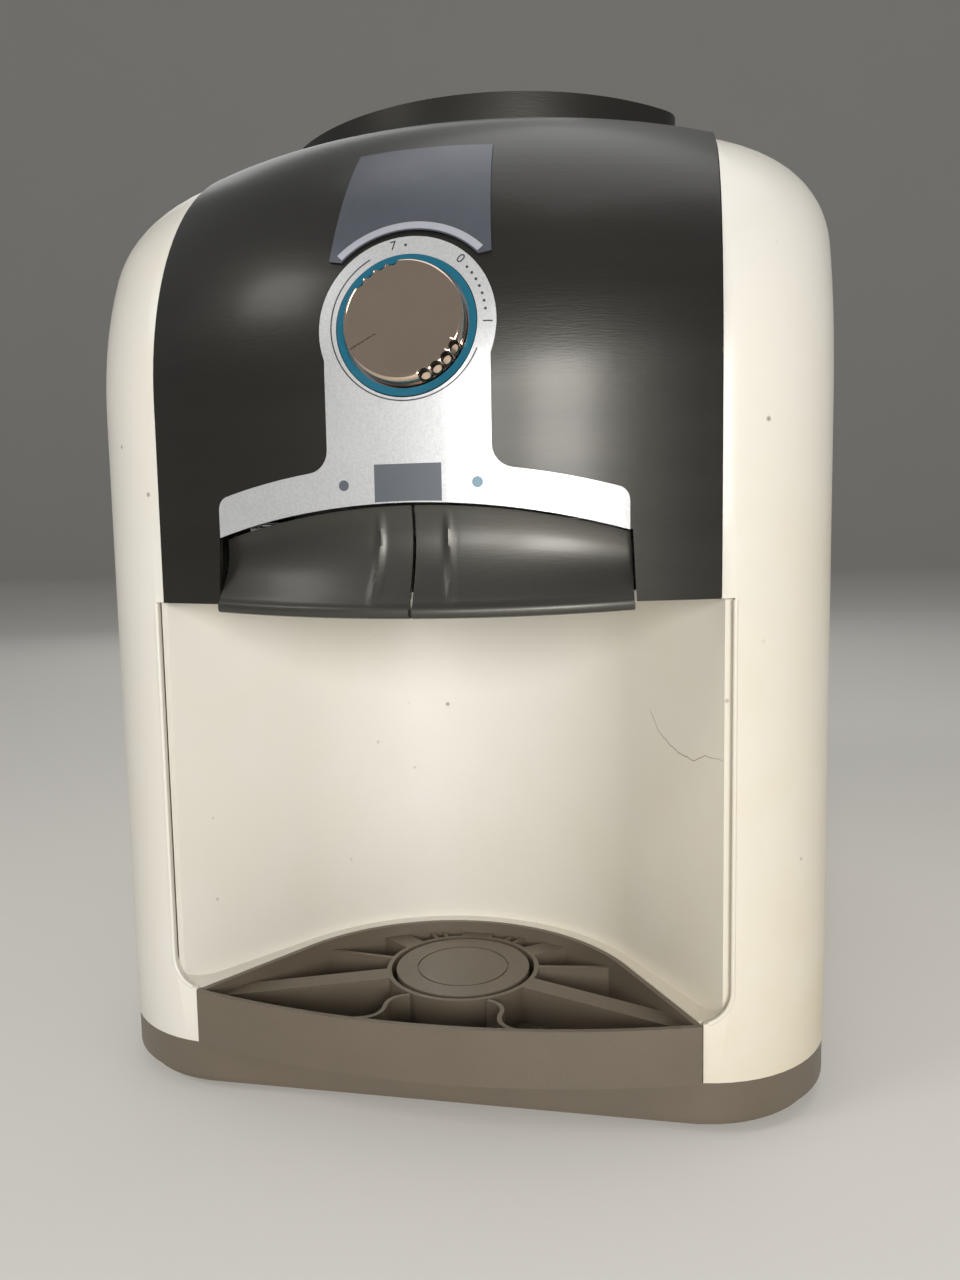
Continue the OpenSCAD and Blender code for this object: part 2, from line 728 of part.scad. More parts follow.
module paddle_bracket() color([0.55, 0.56, 0.57]) at_front() {
    beam_y = hinge_y + 6;
    end_x = ear_x[1] + ear_w / 2 + 0.5 + lug_w;
    difference() {
        union() {
            translate([-end_x, beam_y, hinge_z - 6]) cube([2 * end_x, 3, 14]);
            for (s = [-1, 1], x = [ear_x[0] - ear_w / 2 - 0.5 - lug_w, ear_x[1] + ear_w / 2 + 0.5])
                translate([s > 0 ? x : -x - lug_w, 0, 0]) {
                    translate([0, hinge_y, hinge_z]) rod_x(4, 0, lug_w);
                    side_cut(0, lug_w) polygon([[hinge_y, hinge_z - 4], [hinge_y, hinge_z + 4],
                        [beam_y + 1, hinge_z + 6], [beam_y + 1, hinge_z - 6]]);
                }
            // legs that stand on the shelf
            for (s = [-1, 1]) translate([s > 0 ? end_x - 12 : -end_x, 0, shelf_z + shelf_t]) {
                translate([0, beam_y, 0]) cube([12, 3, hinge_z - shelf_z - shelf_t]);
                translate([0, beam_y, 0]) cube([12, 14, 2]);
            }
        }
        translate([0, hinge_y, hinge_z]) rod_x(pin_d / 2 + 0.02, -half_w, half_w);
    }
}

module hinge_pins() color([0.75, 0.75, 0.77]) at_front() {
    for (s = [-1, 1]) translate([s > 0 ? 0 : -80, hinge_y, hinge_z])
        rod_x(pin_d / 2, s > 0 ? 6 : 6, s > 0 ? 74 : 74);
}

module tap_body(s) {
    translate([s * tap_x, 0, tap_z]) difference() {
        union() {
            rod_y(tap_r, gland[0], tap_end);
            rod_y(barb_r, barb[0] - eps, barb[1]);
            translate([0, nozzle_y, -tap_rise - shelf_t - nozzle_drop])
                cylinder(r = 6, h = tap_rise + shelf_t + nozzle_drop);
            translate([-13, nozzle_y + 8, -tap_rise]) cube([26, 22, 3]);
            translate([-3, nozzle_y + 8, -tap_rise]) cube([6, 22, tap_rise - 2]);
        }
        rod_y(stem_d / 2 + stem_fit, gland[0] - 1, gland[1] + 1);
        rod_y(stem_d / 2 + 1.4, gland[1], seat_y + 1);
        rod_y(chamber_r, chamber[0], chamber[1]);
        rod_y(3, chamber[1] - 1, barb[1] + 1);
        translate([0, nozzle_y, -tap_rise - shelf_t - nozzle_drop - 1])
            cylinder(d = nozzle_d, h = tap_rise + shelf_t + nozzle_drop + 1);
        for (x = [-10, 10]) translate([x, nozzle_y + 19, -tap_rise - 1]) cylinder(d = 3.4, h = 5);
    }
}

module left_tap_body() color([0.92, 0.92, 0.90]) at_front() tap_body(-1);
module right_tap_body() color([0.92, 0.92, 0.90]) at_front() tap_body(1);

seal_t = 2;
head_y = seat_y + 0.3 + seal_t;

module valve_stem(s) {
    translate([s * tap_x, 0, tap_z]) {
        rod_y(stem_d / 2, stem_tip, head_y + 1);
        rod_y(5, head_y, head_y + 3);
    }
}

module left_valve_stem() color([0.9, 0.9, 0.9]) at_front() valve_stem(-1);
module right_valve_stem() color([0.3, 0.5, 0.75]) at_front() valve_stem(1);

module stem_seal(s) {
    translate([s * tap_x, 0, tap_z]) difference() {
        rod_y(5.2, head_y - seal_t, head_y);
        rod_y(stem_d / 2, head_y - seal_t - 1, head_y + 1);
    }
}

module left_stem_seal() color([0.15, 0.15, 0.15]) at_front() stem_seal(-1);
module right_stem_seal() color([0.15, 0.15, 0.15]) at_front() stem_seal(1);

module stem_spring(s) {
    from = head_y + 3.7;
    to = chamber[1] - 0.7;
    translate([s * tap_x, 0, tap_z]) rotate([-90, 0, 0]) tube(helix(4, from, to, 7, 14), 0.45, 6);
}

module left_stem_spring() color([0.75, 0.75, 0.78]) at_front() stem_spring(-1);
module right_stem_spring() color([0.75, 0.75, 0.78]) at_front() stem_spring(1);

module hose(p) {
    difference() {
        tube(p, barb_r + 2.4, 16);
        tube(concat([2 * p[0] - p[1]], p, [2 * p[len(p) - 1] - p[len(p) - 2]]), barb_r + 0.3, 16);
    }
}

riser_y = tank_y - foam_r + 2;

module natural_hose() color([0.86, 0.88, 0.86]) at_front() {
    hose(bend([[-tap_x, barb[0] + 1, tap_z], [-tap_x, barb[1], tap_z], [-tap_x, barb[1] + 10, tap_z + 6],
        [-tap_x, barb[1] + 10, tap_z + 40], [-tap_x, barb[1] + 10, tank_top - 40],
        [-tap_x, barb[1] + 10, tank_top - 18], [-tap_x, barb[1] + 22, tank_top - 16],
        [-tap_x, barb[1] + 40, tank_top - 16]], 5));
}

module cold_hose() color([0.86, 0.88, 0.86]) at_front() translate([tap_x, 0, tap_z]) difference() {
    rod_y(barb_r + 2.4, barb[0] + 1, barb[1] + 20);
    rod_y(barb_r + 0.05, barb[0], barb[1] + 21);
}

// ---- drip tray ----

module tray_outline(i) {
    intersection() {
        hollow_plan(tray_r - i, tray_y, tray_half - 1.2 * i, -tray_bulge - 2);
        translate([0, tray_front_r - tray_bulge - 1]) circle(tray_front_r - i, $fn = 240);
    }
}

// A wall that snakes from the ring round the cup rest to the tray's front
module snake_wall(s) {
    a = [s * 17, rest_y - 31];
    b = [s * 24, rest_y - 43];
    c = [s * 33, -4];
    path = concat(bow(a, b, s * 3, 6), bow(b, c, -s * 3, 8));
    for (k = [0:len(path) - 2]) if (norm(path[k + 1] - path[k]) > 0.1) {
        d = (path[k + 1] - path[k]) / norm(path[k + 1] - path[k]);
        n = [-d[1], d[0]] * 0.9;
        polygon([path[k] - n - d * 0.4, path[k] + n - d * 0.4, path[k + 1] + n + d * 0.4, path[k + 1] - n + d * 0.4]);
    }
}

module drip_tray() color([0.37, 0.34, 0.30]) at_front() {
    ring = rest_r + 4.3;
    difference() {
        translate([0, 0, tray_floor]) linear_extrude(alcove_z - tray_floor) tray_outline(0);
        translate([0, 0, tray_floor + tray_t]) linear_extrude(alcove_z) tray_outline(tray_t);
    }
    // ring, radial ribs and the two snaking walls
    translate([0, 0, tray_floor + tray_t - eps]) linear_extrude(tray_rib_z - tray_floor - tray_t) {
        intersection() {
            tray_outline(tray_t - 0.5);
            union() {
                difference() {
                    translate([0, rest_y]) circle(ring);
                    translate([0, rest_y]) circle(ring - 2);
                }
                for (s = [-1, 1]) snake_wall(s);
                for (s = [-1, 1], k = [0:5]) translate([0, rest_y]) rotate([0, 0, s * (112 - 29 * k)])
                    translate([-(k % 2 == 0 ? 5 : 1), ring - 1]) square([k % 2 == 0 ? 10 : 2, 80]);
            }
        }
    }
}

module cup_rest() color([0.40, 0.37, 0.33]) at_front() translate([0, rest_y, tray_floor + tray_t]) {
    difference() {
        cylinder(r = rest_r, h = tray_rib_z - tray_floor - tray_t);
        translate([0, 0, -1]) cylinder(r = rest_r - 2, h = tray_rib_z - tray_floor - tray_t - 1);
        translate([0, 0, tray_rib_z - tray_floor - tray_t - 0.6]) difference() {
            cylinder(r = 20.5, h = 2);
            cylinder(r = 19.7, h = 2);
        }
    }
}

// ---- bottle seat and water tank ----

module bottle_collar() color([0.22, 0.23, 0.23]) at_front() translate([0, tank_y, 0]) {
    dish_out = collar_r - collar_t;
    // rim wall
    difference() {
        translate([0, 0, cab_top - 8]) linear_extrude(collar_h + 8) collar_outline(0);
        translate([0, 0, cab_top - 9]) linear_extrude(collar_h + 10) collar_outline(-collar_t);
    }
    // foot that stands on the curb
    difference() {
        translate([0, 0, curb_z + 0.1]) linear_extrude(2.5) collar_outline(3.6);
        translate([0, 0, curb_z - 1]) linear_extrude(6) collar_outline(-collar_t + 0.5);
    }
    // dish that slopes down to the neck
    intersection() {
        rotate_extrude() polygon([[neck_r, neck_z[0]], [neck_r + 2.5, neck_z[0]], [neck_r + 2.5, neck_z[1]],
            [dish_out + 2, cab_top + 4], [dish_out + 2, cab_top + 7], [neck_r, neck_z[1] + 3]]);
        translate([0, 0, neck_z[0] - 1]) linear_extrude(80) collar_outline(-collar_t / 2);
    }
}

module bottle_probe() color([0.90, 0.91, 0.90]) at_front() translate([0, tank_y, tank_top + 3]) {
    difference() {
        union() {
            cylinder(r = 27, h = 3);
            cylinder(r = 11, h = 34);
            translate([0, 0, 34]) cylinder(r1 = 11, r2 = 4, h = 12);
        }
        translate([0, 0, -1]) cylinder(r = 8, h = 35);
        for (a = [0, 90]) rotate([0, 0, a]) translate([0, 0, 26]) rod_x(3.5, -20, 20);
        for (a = [45:90:315]) rotate([0, 0, a]) translate([19, 0, -1]) cylinder(r = 4, h = 6);
    }
}

module tank_lid() color([0.88, 0.89, 0.88]) at_front() translate([0, tank_y, tank_top]) difference() {
    union() {
        cylinder(r = foam_in - 0.5, h = 3);
        cylinder(r = neck_r - 1, h = neck_z[0] - tank_top - 2);
    }
    translate([0, 0, -1]) cylinder(r = 25, h = 5);
    translate([0, 0, 3]) cylinder(r = neck_r - 3, h = 60);
}

module cold_tank() color([0.76, 0.77, 0.78]) at_front() translate([0, tank_y, 0]) difference() {
    union() {
        translate([0, 0, tank_z]) cylinder(r = tank_r, h = tank_h);
        translate([0, 0, tank_top - 1]) cylinder(r = foam_in - 0.5, h = 1);
        translate([tap_x, 0, tap_z]) rod_y(barb_r, barb[1] + 2 - tank_y, -tank_r + 14);
        translate([-tap_x, 0, tank_top - 16]) rod_y(barb_r, barb[1] + 26 - tank_y, -tank_r + 14);
    }
    translate([0, 0, tank_z + tank_t]) cylinder(r = tank_r - tank_t, h = tank_h);
    translate([tap_x, 0, tap_z]) rod_y(barb_r - 1.2, barb[1] - tank_y, -tank_r + 20);
    translate([-tap_x, 0, tank_top - 16]) rod_y(barb_r - 1.2, barb[1] - tank_y, -tank_r + 20);
}

module water_baffle() color([0.85, 0.86, 0.85]) at_front() translate([0, tank_y, tank_top - 48]) difference() {
    union() {
        cylinder(r = tank_r - tank_t - 0.4, h = 2.5);
        translate([0, 0, -60]) cylinder(r = 9, h = 61);
    }
    translate([0, 0, -61]) cylinder(r = 7, h = 70);
}

module foam_half(front) {
    difference() {
        intersection() {
            translate([0, tank_y, tank_z - foam_floor]) cylinder(r = foam_r, h = foam_top - tank_z + foam_floor);
            translate([-foam_r, front ? tank_y - foam_r : tank_y, 0]) cube([2 * foam_r, foam_r, cab_top]);
        }
        translate([0, tank_y, tank_z]) cylinder(r = foam_in, h = foam_top);
        translate([tap_x, 0, tap_z]) rod_y(barb_r + 3, tank_y - foam_r - 1, tank_y);
        translate([-tap_x, 0, tank_top - 16]) rod_y(barb_r + 3, tank_y - foam_r - 1, tank_y);
        // slot where the suction line leaves
        translate([tank_r - 8, tank_y + 10, evap_low - 8]) cube([40, 12, 14]);
    }
}

module foam_front() color([0.95, 0.95, 0.93]) at_front() foam_half(true);
module foam_rear() color([0.95, 0.95, 0.93]) at_front() foam_half(false);

module tank_rack() color([0.70, 0.71, 0.72]) at_front() {
    wide = half_w - shell_t - seat;
    difference() {
        translate([-wide, tank_y - 80, rack_z]) cube([2 * wide, 160, 2]);
        translate([0, tank_y, rack_z - 1]) cylinder(r = 20, h = 4);
        translate([suction_at[0], suction_at[1], rack_z - 1]) cylinder(r = 8, h = 4);
    }
    for (s = [-1, 1]) translate([s > 0 ? wide - 2 : -wide, tank_y - 80, rack_z - 16]) cube([2, 160, 17]);
}

module evaporator_coil() color([0.72, 0.45, 0.28]) at_front() translate([0, tank_y, 0])
    tube(helix(tank_r + evap_r + 0.9, evap_low, evap_low + 60, 6, 24), evap_r, 8);

module thermostat_bulb() color([0.72, 0.45, 0.28]) at_front() {
    top = thermo_z - 26;
    start = [0, dial_y - top * cos(tilt), dial_z + top * sin(tilt)];
    tube(bend([start + [0, 0.2, 0], start + [0, 12, 0], [-20, 70, dial_z + 30], [-60, 100, dial_z + 40],
        [-90, 150, foam_top + 6], [-76, 190, foam_top + 8], [-71, tank_y - 12, foam_top - 6],
        [-71, tank_y - 12, tank_top + 20], [-71, tank_y - 12, tank_top + 11.2]], 4), 1.4, 6);
    translate([-71, tank_y - 12, tank_top + 3.2]) cylinder(r = 3.5, h = 8);
}

// ---- cooling ----

module compressor() color([0.08, 0.08, 0.09]) at_front() translate([0, comp_y, comp_z]) {
    soft = 28;
    wall = 8;
    difference() {
        rotate_extrude() {
            square([comp_r - soft, comp_h]);
            translate([0, soft]) square([comp_r, comp_h - 2 * soft]);
            for (z = [soft, comp_h - soft]) translate([comp_r - soft, z]) circle(soft);
        }
        translate([0, 0, soft]) cylinder(r = comp_r - wall, h = comp_h - 2 * soft);
        translate([0, 0, wall]) cylinder(r = comp_r - soft, h = comp_h - 2 * wall);
    }
    difference() {
        translate([0, 0, comp_h / 2 - 2]) cylinder(r = comp_r + 2.5, h = 4);
        cylinder(r = comp_r - 1, h = comp_h);
    }
}

plate_x = 75;
plate_y = 48;

module compressor_plate() color([0.30, 0.30, 0.31]) at_front() translate([0, comp_y, plate_z]) difference() {
    translate([-plate_x - 14, -plate_y - 14, 0]) cube([2 * plate_x + 28, 2 * plate_y + 28, 2.5]);
    for (s = [-1, 1], t = [-1, 1]) translate([s * plate_x, t * plate_y, -1]) cylinder(r = 6.3, h = 5);
}

module compressor_grommets() color([0.10, 0.10, 0.10]) at_front() {
    floor_z = foot_h + base_t;
    for (s = [-1, 1], t = [-1, 1]) translate([s * plate_x, comp_y + t * plate_y, floor_z]) difference() {
        union() {
            cylinder(r = 11, h = plate_z - floor_z);
            cylinder(r = 6, h = plate_z - floor_z + 4.5);
            translate([0, 0, plate_z - floor_z + 2.5]) cylinder(r = 9, h = 2);
        }
        translate([0, 0, -1]) cylinder(r = 3.2, h = 30);
    }
}

module relay_cover() color([0.12, 0.12, 0.13]) at_front() difference() {
    translate([-comp_r - 27, comp_y - 24, comp_z + 45]) cube([40, 48, 52]);
    translate([0, comp_y, 0]) cylinder(r = comp_r + 2.7, h = cab_top);
}

dryer = [112, cab_d - 22, 62];
pass_x = 132;               // where the lines pass through the back panel
pass_z = [84, 362];
suction_at = [124, tank_y + 44, evap_low];

module filter_dryer() color([0.72, 0.45, 0.28]) at_front() translate(dryer) {
    cylinder(r = 9, h = 80);
    translate([0, 0, -9]) cylinder(r1 = 3, r2 = 9, h = 9);
    translate([0, 0, 80]) cylinder(r1 = 9, r2 = 3, h = 9);
}

cond_top = cond_low + cond_step * (cond_rows - 1);

module refrigerant_tubes() color([0.72, 0.45, 0.28]) at_front() {
    start = comp_r * sqrt(0.5) + 0.1;
    // discharge line, from the compressor to the condenser's upper row
    tube(bend([[start, comp_y + start, comp_z + 85], [start + 8, comp_y + start + 8, comp_z + 85],
        [128, comp_y + 64, comp_z + 95], [pass_x, cab_d - 20, comp_z + 150], [pass_x, cab_d - 20, pass_z[1]],
        [pass_x, cab_d + 16, pass_z[1]], [128, cond_y, cond_top], [cond_half + 0.1, cond_y, cond_top]], 4), 2.4, 8);
    // liquid line, from the condenser's lower row to the dryer
    tube(bend([[cond_half + 0.1, cond_y, cond_low], [126, cond_y, cond_low], [pass_x, cab_d + 16, pass_z[0]],
        [pass_x, cab_d - 20, pass_z[0]], [pass_x, cab_d - 22, 40], [dryer[0], dryer[1], 34],
        [dryer[0], dryer[1], dryer[2] - 9.1]], 4), 2, 8);
    // suction line, from the evaporator back to the compressor
    tube(bend([[foam_in + 1.6, tank_y + 16, evap_low], [104, tank_y + 16, evap_low], suction_at,
        suction_at - [0, 0, 70], suction_at - [0, 0, 110], [96, comp_y, comp_z + 45],
        [comp_r + 0.1, comp_y, comp_z + 45]], 4), 3, 8);
}

module condenser_tube() color([0.10, 0.10, 0.11]) at_front() translate([0, cond_y, cond_low]) {
    for (k = [0:cond_rows - 1]) translate([0, 0, k * cond_step]) rod_x(cond_r, -cond_half, cond_half);
    for (k = [0:cond_rows - 2]) {
        s = k % 2 == 0 ? -1 : 1;
        translate([s * cond_half, 0, (k + 0.5) * cond_step]) rotate([90, 0, 0])
            rotate([0, 0, s > 0 ? -90 : 90]) rotate_extrude(angle = 180)
                translate([cond_step / 2, 0]) circle(cond_r);
    }
}

module condenser_wires() color([0.10, 0.10, 0.11]) at_front() {
    reach = cond_r + wire_r + 0.05;
    for (k = [-9:9], t = [-1, 1]) translate([k * 11.5, cond_y + t * reach, cond_low - 8])
        cylinder(r = wire_r, h = cond_top - cond_low + 16, $fn = 16);
}

module condenser_brackets() color([0.10, 0.10, 0.11]) at_front() {
    for (s = [-1, 1], z = [cond_low + 10, cond_top - 24]) translate([s * 122 - 7, 0, z]) {
        translate([0, back_y + back_t, 0]) cube([14, 2, 14]);
        translate([s > 0 ? 0 : 12, back_y + back_t, 0]) cube([2, cond_y - back_y + 4, 14]);
        translate([s > 0 ? -8 : 2, cond_y + 3.2, 0]) cube([20, 2, 14]);
    }
}

module rear_spacers() color([0.12, 0.12, 0.12]) at_front() {
    for (s = [-1, 1], z = [cond_low + 17, cond_top - 17]) translate([s * 119, 0, z])
        rod_y(6, cond_y + 5.2, rear_y);
}

module screws() color([0.70, 0.70, 0.72]) at_front() {
    // into the tap feet
    for (s = [-1, 1], x = [-10, 10]) translate([s * tap_x + x, nozzle_y + 19, shelf_z + shelf_t + 3]) {
        cylinder(d = 6, h = 2, $fn = 24);
        translate([0, 0, -3]) cylinder(d = 3, h = 4, $fn = 24);
    }
    // into the panel's bosses
    on_dial() for (s = [-1, 1]) translate([s * 42, 0, thermo_z - 2]) {
        cylinder(d = 6, h = 2, $fn = 24);
        cylinder(d = 2.9, h = 7, $fn = 24);
    }
    // into the side panels' rear edges
    for (s = [-1, 1], z = [60, 200, 320]) translate([s * (half_w - 12), 0, z])
        rod_y(3.5, back_y + back_t, back_y + back_t + 2, $fn = 24);
}

// ---- mains lead ----

module strain_relief() color([0.06, 0.06, 0.06]) at_front() translate([gland_x, back_y, gland_z]) difference() {
    union() {
        rod_y(gland_r - 0.1, -3, back_t + 1);
        rod_y(9, -3, -0.1);
        rod_y(9, back_t + 0.1, back_t + 4);
        translate([0, back_t + 4, 0]) rotate([-90, 0, 0])
            cylinder(r1 = 7.5, r2 = cord_r + 1, h = relief_len - 4 - 0.2);
    }
    rod_y(cord_r, -4, relief_len + 4);
}

module power_cord() color([0.05, 0.05, 0.05]) at_front() {
    tube(cord_path, cord_r, 10);
    tube(tail_path, cord_r, 10);
}

// Outer shape of the coiled length, which lies on the ground
module cord_coil() color([0.05, 0.05, 0.05]) at_front() translate([coil_at[0], coil_at[1], 0.1])
    rotate_extrude() translate([coil_in, 0]) square([coil_out - coil_in, coil_h]);

// Three-pin mains plug that lies beside the coil
module plug() color([0.06, 0.06, 0.06]) at_front() translate(plug_at) {
    rod_x(5, 0, 12);
    translate([10, -13, -8]) cube([26, 26, 16]);
    translate([34, -17.5, -8.8]) cube([8, 35, 17.6]);
    for (y = [-9.5, 0, 9.5]) translate([0, y, y == 0 ? 3 : 0]) rod_x(pin_r, 41, 61);
}

base_pan();
rubber_feet();
front_housing();
alcove_liner();
tap_shelf();
side_panel_left();
side_panel_right();
top_cover();
back_panel();
front_panel();
label_plate();
name_plate();
dial_ring();
knob_bezel();
knob();
thermostat_shaft();
thermostat_body();
thermostat_bracket();
thermostat_nut();
left_paddle();
right_paddle();
paddle_bracket();
hinge_pins();
left_tap_body();
right_tap_body();
left_valve_stem();
right_valve_stem();
left_stem_seal();
right_stem_seal();
left_stem_spring();
right_stem_spring();
natural_hose();
cold_hose();
drip_tray();
cup_rest();
bottle_collar();
bottle_probe();
tank_lid();
cold_tank();
water_baffle();
foam_front();
foam_rear();
tank_rack();
evaporator_coil();
thermostat_bulb();
compressor();
compressor_plate();
compressor_grommets();
relay_cover();
filter_dryer();
refrigerant_tubes();
condenser_tube();
condenser_wires();
condenser_brackets();
rear_spacers();
screws();
strain_relief();
power_cord();
cord_coil();
plug();
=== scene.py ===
"""Countertop water dispenser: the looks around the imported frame.

Lengths are in metres in the part's own frame, apart from values named mm.
"""

import json
import math

import bmesh
import bpy
from mathutils import Matrix, Vector

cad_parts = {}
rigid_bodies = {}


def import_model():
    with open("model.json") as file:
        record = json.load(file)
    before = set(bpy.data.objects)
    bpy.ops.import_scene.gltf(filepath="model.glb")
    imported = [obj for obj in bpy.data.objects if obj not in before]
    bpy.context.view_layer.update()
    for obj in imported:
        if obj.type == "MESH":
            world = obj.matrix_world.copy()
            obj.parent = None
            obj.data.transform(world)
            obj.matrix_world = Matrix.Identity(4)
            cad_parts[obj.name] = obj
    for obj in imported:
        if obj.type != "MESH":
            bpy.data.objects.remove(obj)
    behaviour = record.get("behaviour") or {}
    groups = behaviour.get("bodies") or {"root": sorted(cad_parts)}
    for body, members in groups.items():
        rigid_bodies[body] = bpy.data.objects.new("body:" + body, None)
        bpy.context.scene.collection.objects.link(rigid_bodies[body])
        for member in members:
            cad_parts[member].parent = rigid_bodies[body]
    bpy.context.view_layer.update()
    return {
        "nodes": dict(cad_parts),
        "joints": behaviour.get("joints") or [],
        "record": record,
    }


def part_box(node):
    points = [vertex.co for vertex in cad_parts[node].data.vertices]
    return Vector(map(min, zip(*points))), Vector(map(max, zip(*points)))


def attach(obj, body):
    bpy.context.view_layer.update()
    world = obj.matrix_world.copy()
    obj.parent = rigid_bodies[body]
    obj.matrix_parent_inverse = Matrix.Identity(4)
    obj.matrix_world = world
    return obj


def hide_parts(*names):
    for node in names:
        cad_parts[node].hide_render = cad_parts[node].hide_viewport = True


bl_info = {
    "name": "Countertop water dispenser",
    "version": (1, 0, 0),
    "blender": (4, 5, 0),
    "location": "View3D > Sidebar > Dispenser",
    "description": "Finishes and detail pieces of a countertop water dispenser",
    "category": "Object",
}

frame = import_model()
NODES = frame["nodes"]

MM = 0.001
FRONT_TO_SPACERS = 0.408
# the flat of the white front
FRONT_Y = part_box("rear_spacers")[1].y - FRONT_TO_SPACERS
# the knob's axis, out of the tilted panel
KNOB_JOINT = next(j for j in frame["joints"] if j["name"] == "knob_turn")
DIAL_AT = Vector(KNOB_JOINT["pos_m"])
DIAL_OUT = -Vector(KNOB_JOINT["axis"]).normalized()
DIAL_UP = DIAL_OUT.cross(Vector((1, 0, 0))).normalized()
if DIAL_UP.z < 0:
    DIAL_UP.negate()
DIAL_FRAME = Matrix((Vector((1, 0, 0)), DIAL_UP, DIAL_OUT)).transposed().to_4x4()

# the white cabinet, in millimetres
HALF_W, DEPTH, TOP = 155.0, 372.0, 411.0
CORNER, SHOULDER, BROW = 57.0, 65.0, 125.0
BASE_TOP = 22.0
SHELL_WALL = 3.0
ALCOVE_HALF, ALCOVE_LOW, ALCOVE_TOP, ALCOVE_CORNER = 114.0, 45.0, 207.0, 13.0
ALCOVE_BACK = 7.0
TRAY_HALF = 103.4
COLLAR_RADIUS, COLLAR_HALF, COLLAR_CORNER = 125.0, 94.0, 15.0
COLLAR_GAP, CURB_GROWN = 0.8, 4.0

# how far printed marks start in front of the dial, and how far they lie off their film
MARK_AHEAD = 0.004
MARK_LIFT = 0.02 * MM


def linear(red, green, blue):
    """Screen values from 0 to 255, as scene-linear ones."""
    values = [v / 255 for v in (red, green, blue)]
    return tuple(v / 12.92 if v <= 0.04045 else ((v + 0.055) / 1.055) ** 2.4 for v in values)


def colour(name, about, value):
    return bpy.props.FloatVectorProperty(
        name=name, description=about, subtype="COLOR", size=3, min=0, max=1, default=linear(*value)
    )


def length(name, about, mm, low=0.0, high=1000.0):
    return bpy.props.FloatProperty(
        name=name, description=about, unit="LENGTH", default=mm * MM, min=low * MM, max=high * MM
    )


class DispenserColours(bpy.types.PropertyGroup):
    """Colours of the dispenser's finishes"""

    shell: colour("Shell", "White cabinet plastic", (226, 223, 215))
    shell_aged: colour("Aged shell", "Where the white plastic has yellowed", (218, 210, 190))
    charcoal: colour("Charcoal", "Front panel, paddles and bottle collar", (56, 55, 51))
    silver: colour("Silver", "Label film", (212, 213, 214))
    slate: colour("Slate", "Name plate film", (86, 90, 98))
    band: colour("Band", "Dark field in the middle of the label", (84, 90, 97))
    teal: colour("Teal", "Ring round the knob", (0, 92, 116))
    ink: colour("Ink", "Numbers, dots and lines on the label", (52, 54, 58))
    bronze: colour("Bronze", "Plated knob", (226, 202, 182))
    taupe: colour("Taupe", "Base and drip tray", (103, 93, 79))
    floor: colour("Floor", "Ground under the dispenser", (214, 211, 205))


class DispenserSizes(bpy.types.PropertyGroup):
    """Sizes of the pieces added to the dispenser"""

    cord: length("Lead", "Diameter of the mains lead", 7, 4, 10)
    coil_outer: length("Coil", "Radius of the outer turn of the coiled lead", 46, 30, 60)
    pitch: length("Pitch", "From one turn of the coil to the next", 7.1, 4, 12)
    film: length("Film", "Thickness of printed marks", 0.08, 0.02, 0.5)
    dot: length("Dot", "Radius of the two dots beside the band", 1.9, 0.5, 4)
    numeral: length("Numeral", "Height of the dial's numbers", 3.6, 1, 8)


def colours():
    return bpy.context.scene.dispenser_colours


def sizes():
    return bpy.context.scene.dispenser_sizes


# ---- modelling helpers ----


def deselect():
    bpy.ops.object.select_all(action="DESELECT")


def only(piece):
    deselect()
    piece.select_set(True)
    bpy.context.view_layer.objects.active = piece


def settle(piece):
    """Puts the piece's place and size into its mesh."""
    only(piece)
    bpy.ops.object.transform_apply(location=True, rotation=True, scale=True)


def apply_all(piece):
    only(piece)
    for modifier in list(piece.modifiers):
        bpy.ops.object.modifier_apply(modifier=modifier.name)


def keep(piece, name, body, finish):
    """Names a finished piece and gives it its body, finish and slot."""
    piece.name = name
    piece.data.name = name
    piece.data.materials.clear()
    piece.data.materials.append(finish)
    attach(piece, body)
    return piece


def edit(piece):
    """Opens the piece's mesh with nothing selected."""
    only(piece)
    bpy.ops.object.mode_set(mode="EDIT")
    bpy.ops.mesh.select_all(action="DESELECT")
    return bmesh.from_edit_mesh(piece.data)


def close():
    bpy.ops.object.mode_set(mode="OBJECT")


def face_out():
    """Turns every face of a closed mesh that is open for editing outwards."""
    bpy.ops.mesh.select_all(action="SELECT")
    bpy.ops.mesh.normals_make_consistent(inside=False)
    close()


def cap(piece, *ends):
    """Closes a piece: one face on the boundary edges that each test picks."""
    edit(piece)
    for end in ends:
        mesh = bmesh.from_edit_mesh(piece.data)
        bpy.ops.mesh.select_all(action="DESELECT")
        for edge in mesh.edges:
            edge.select = edge.is_boundary and end(edge)
        bpy.ops.mesh.edge_face_add()
    face_out()


def level_at(mm):
    """A test for edges that lie at a height in millimetres."""
    return lambda edge: all(abs(v.co.z - mm * MM) < 1e-7 for v in edge.verts)


def smooth(piece, angle):
    only(piece)
    bpy.ops.object.shade_smooth_by_angle(angle=math.radians(angle))


def wrap(piece, target):
    """Lays a flat mark on the curved face of a node and gives it a thickness."""
    face_front(piece)
    lay = piece.modifiers.new("lay", "SHRINKWRAP")
    lay.target = target
    lay.wrap_method = "PROJECT"
    lay.wrap_mode = "ABOVE_SURFACE"
    lay.use_project_x = False
    lay.use_project_y = True
    lay.use_project_z = False
    lay.use_positive_direction = True
    lay.use_negative_direction = True
    lay.cull_face = "BACK"
    lay.offset = MARK_LIFT
    apply_all(piece)
    skin = piece.modifiers.new("film", "SOLIDIFY")
    skin.thickness = sizes().film
    skin.offset = 1
    apply_all(piece)


def face_front(piece):
    """Turns every face of a flat mark towards the front."""
    mesh = edit(piece)
    for face in mesh.faces:
        face.normal_update()
        if face.normal.y > 0:
            face.normal_flip()
    bmesh.update_edit_mesh(piece.data)
    close()


# ---- finishes ----


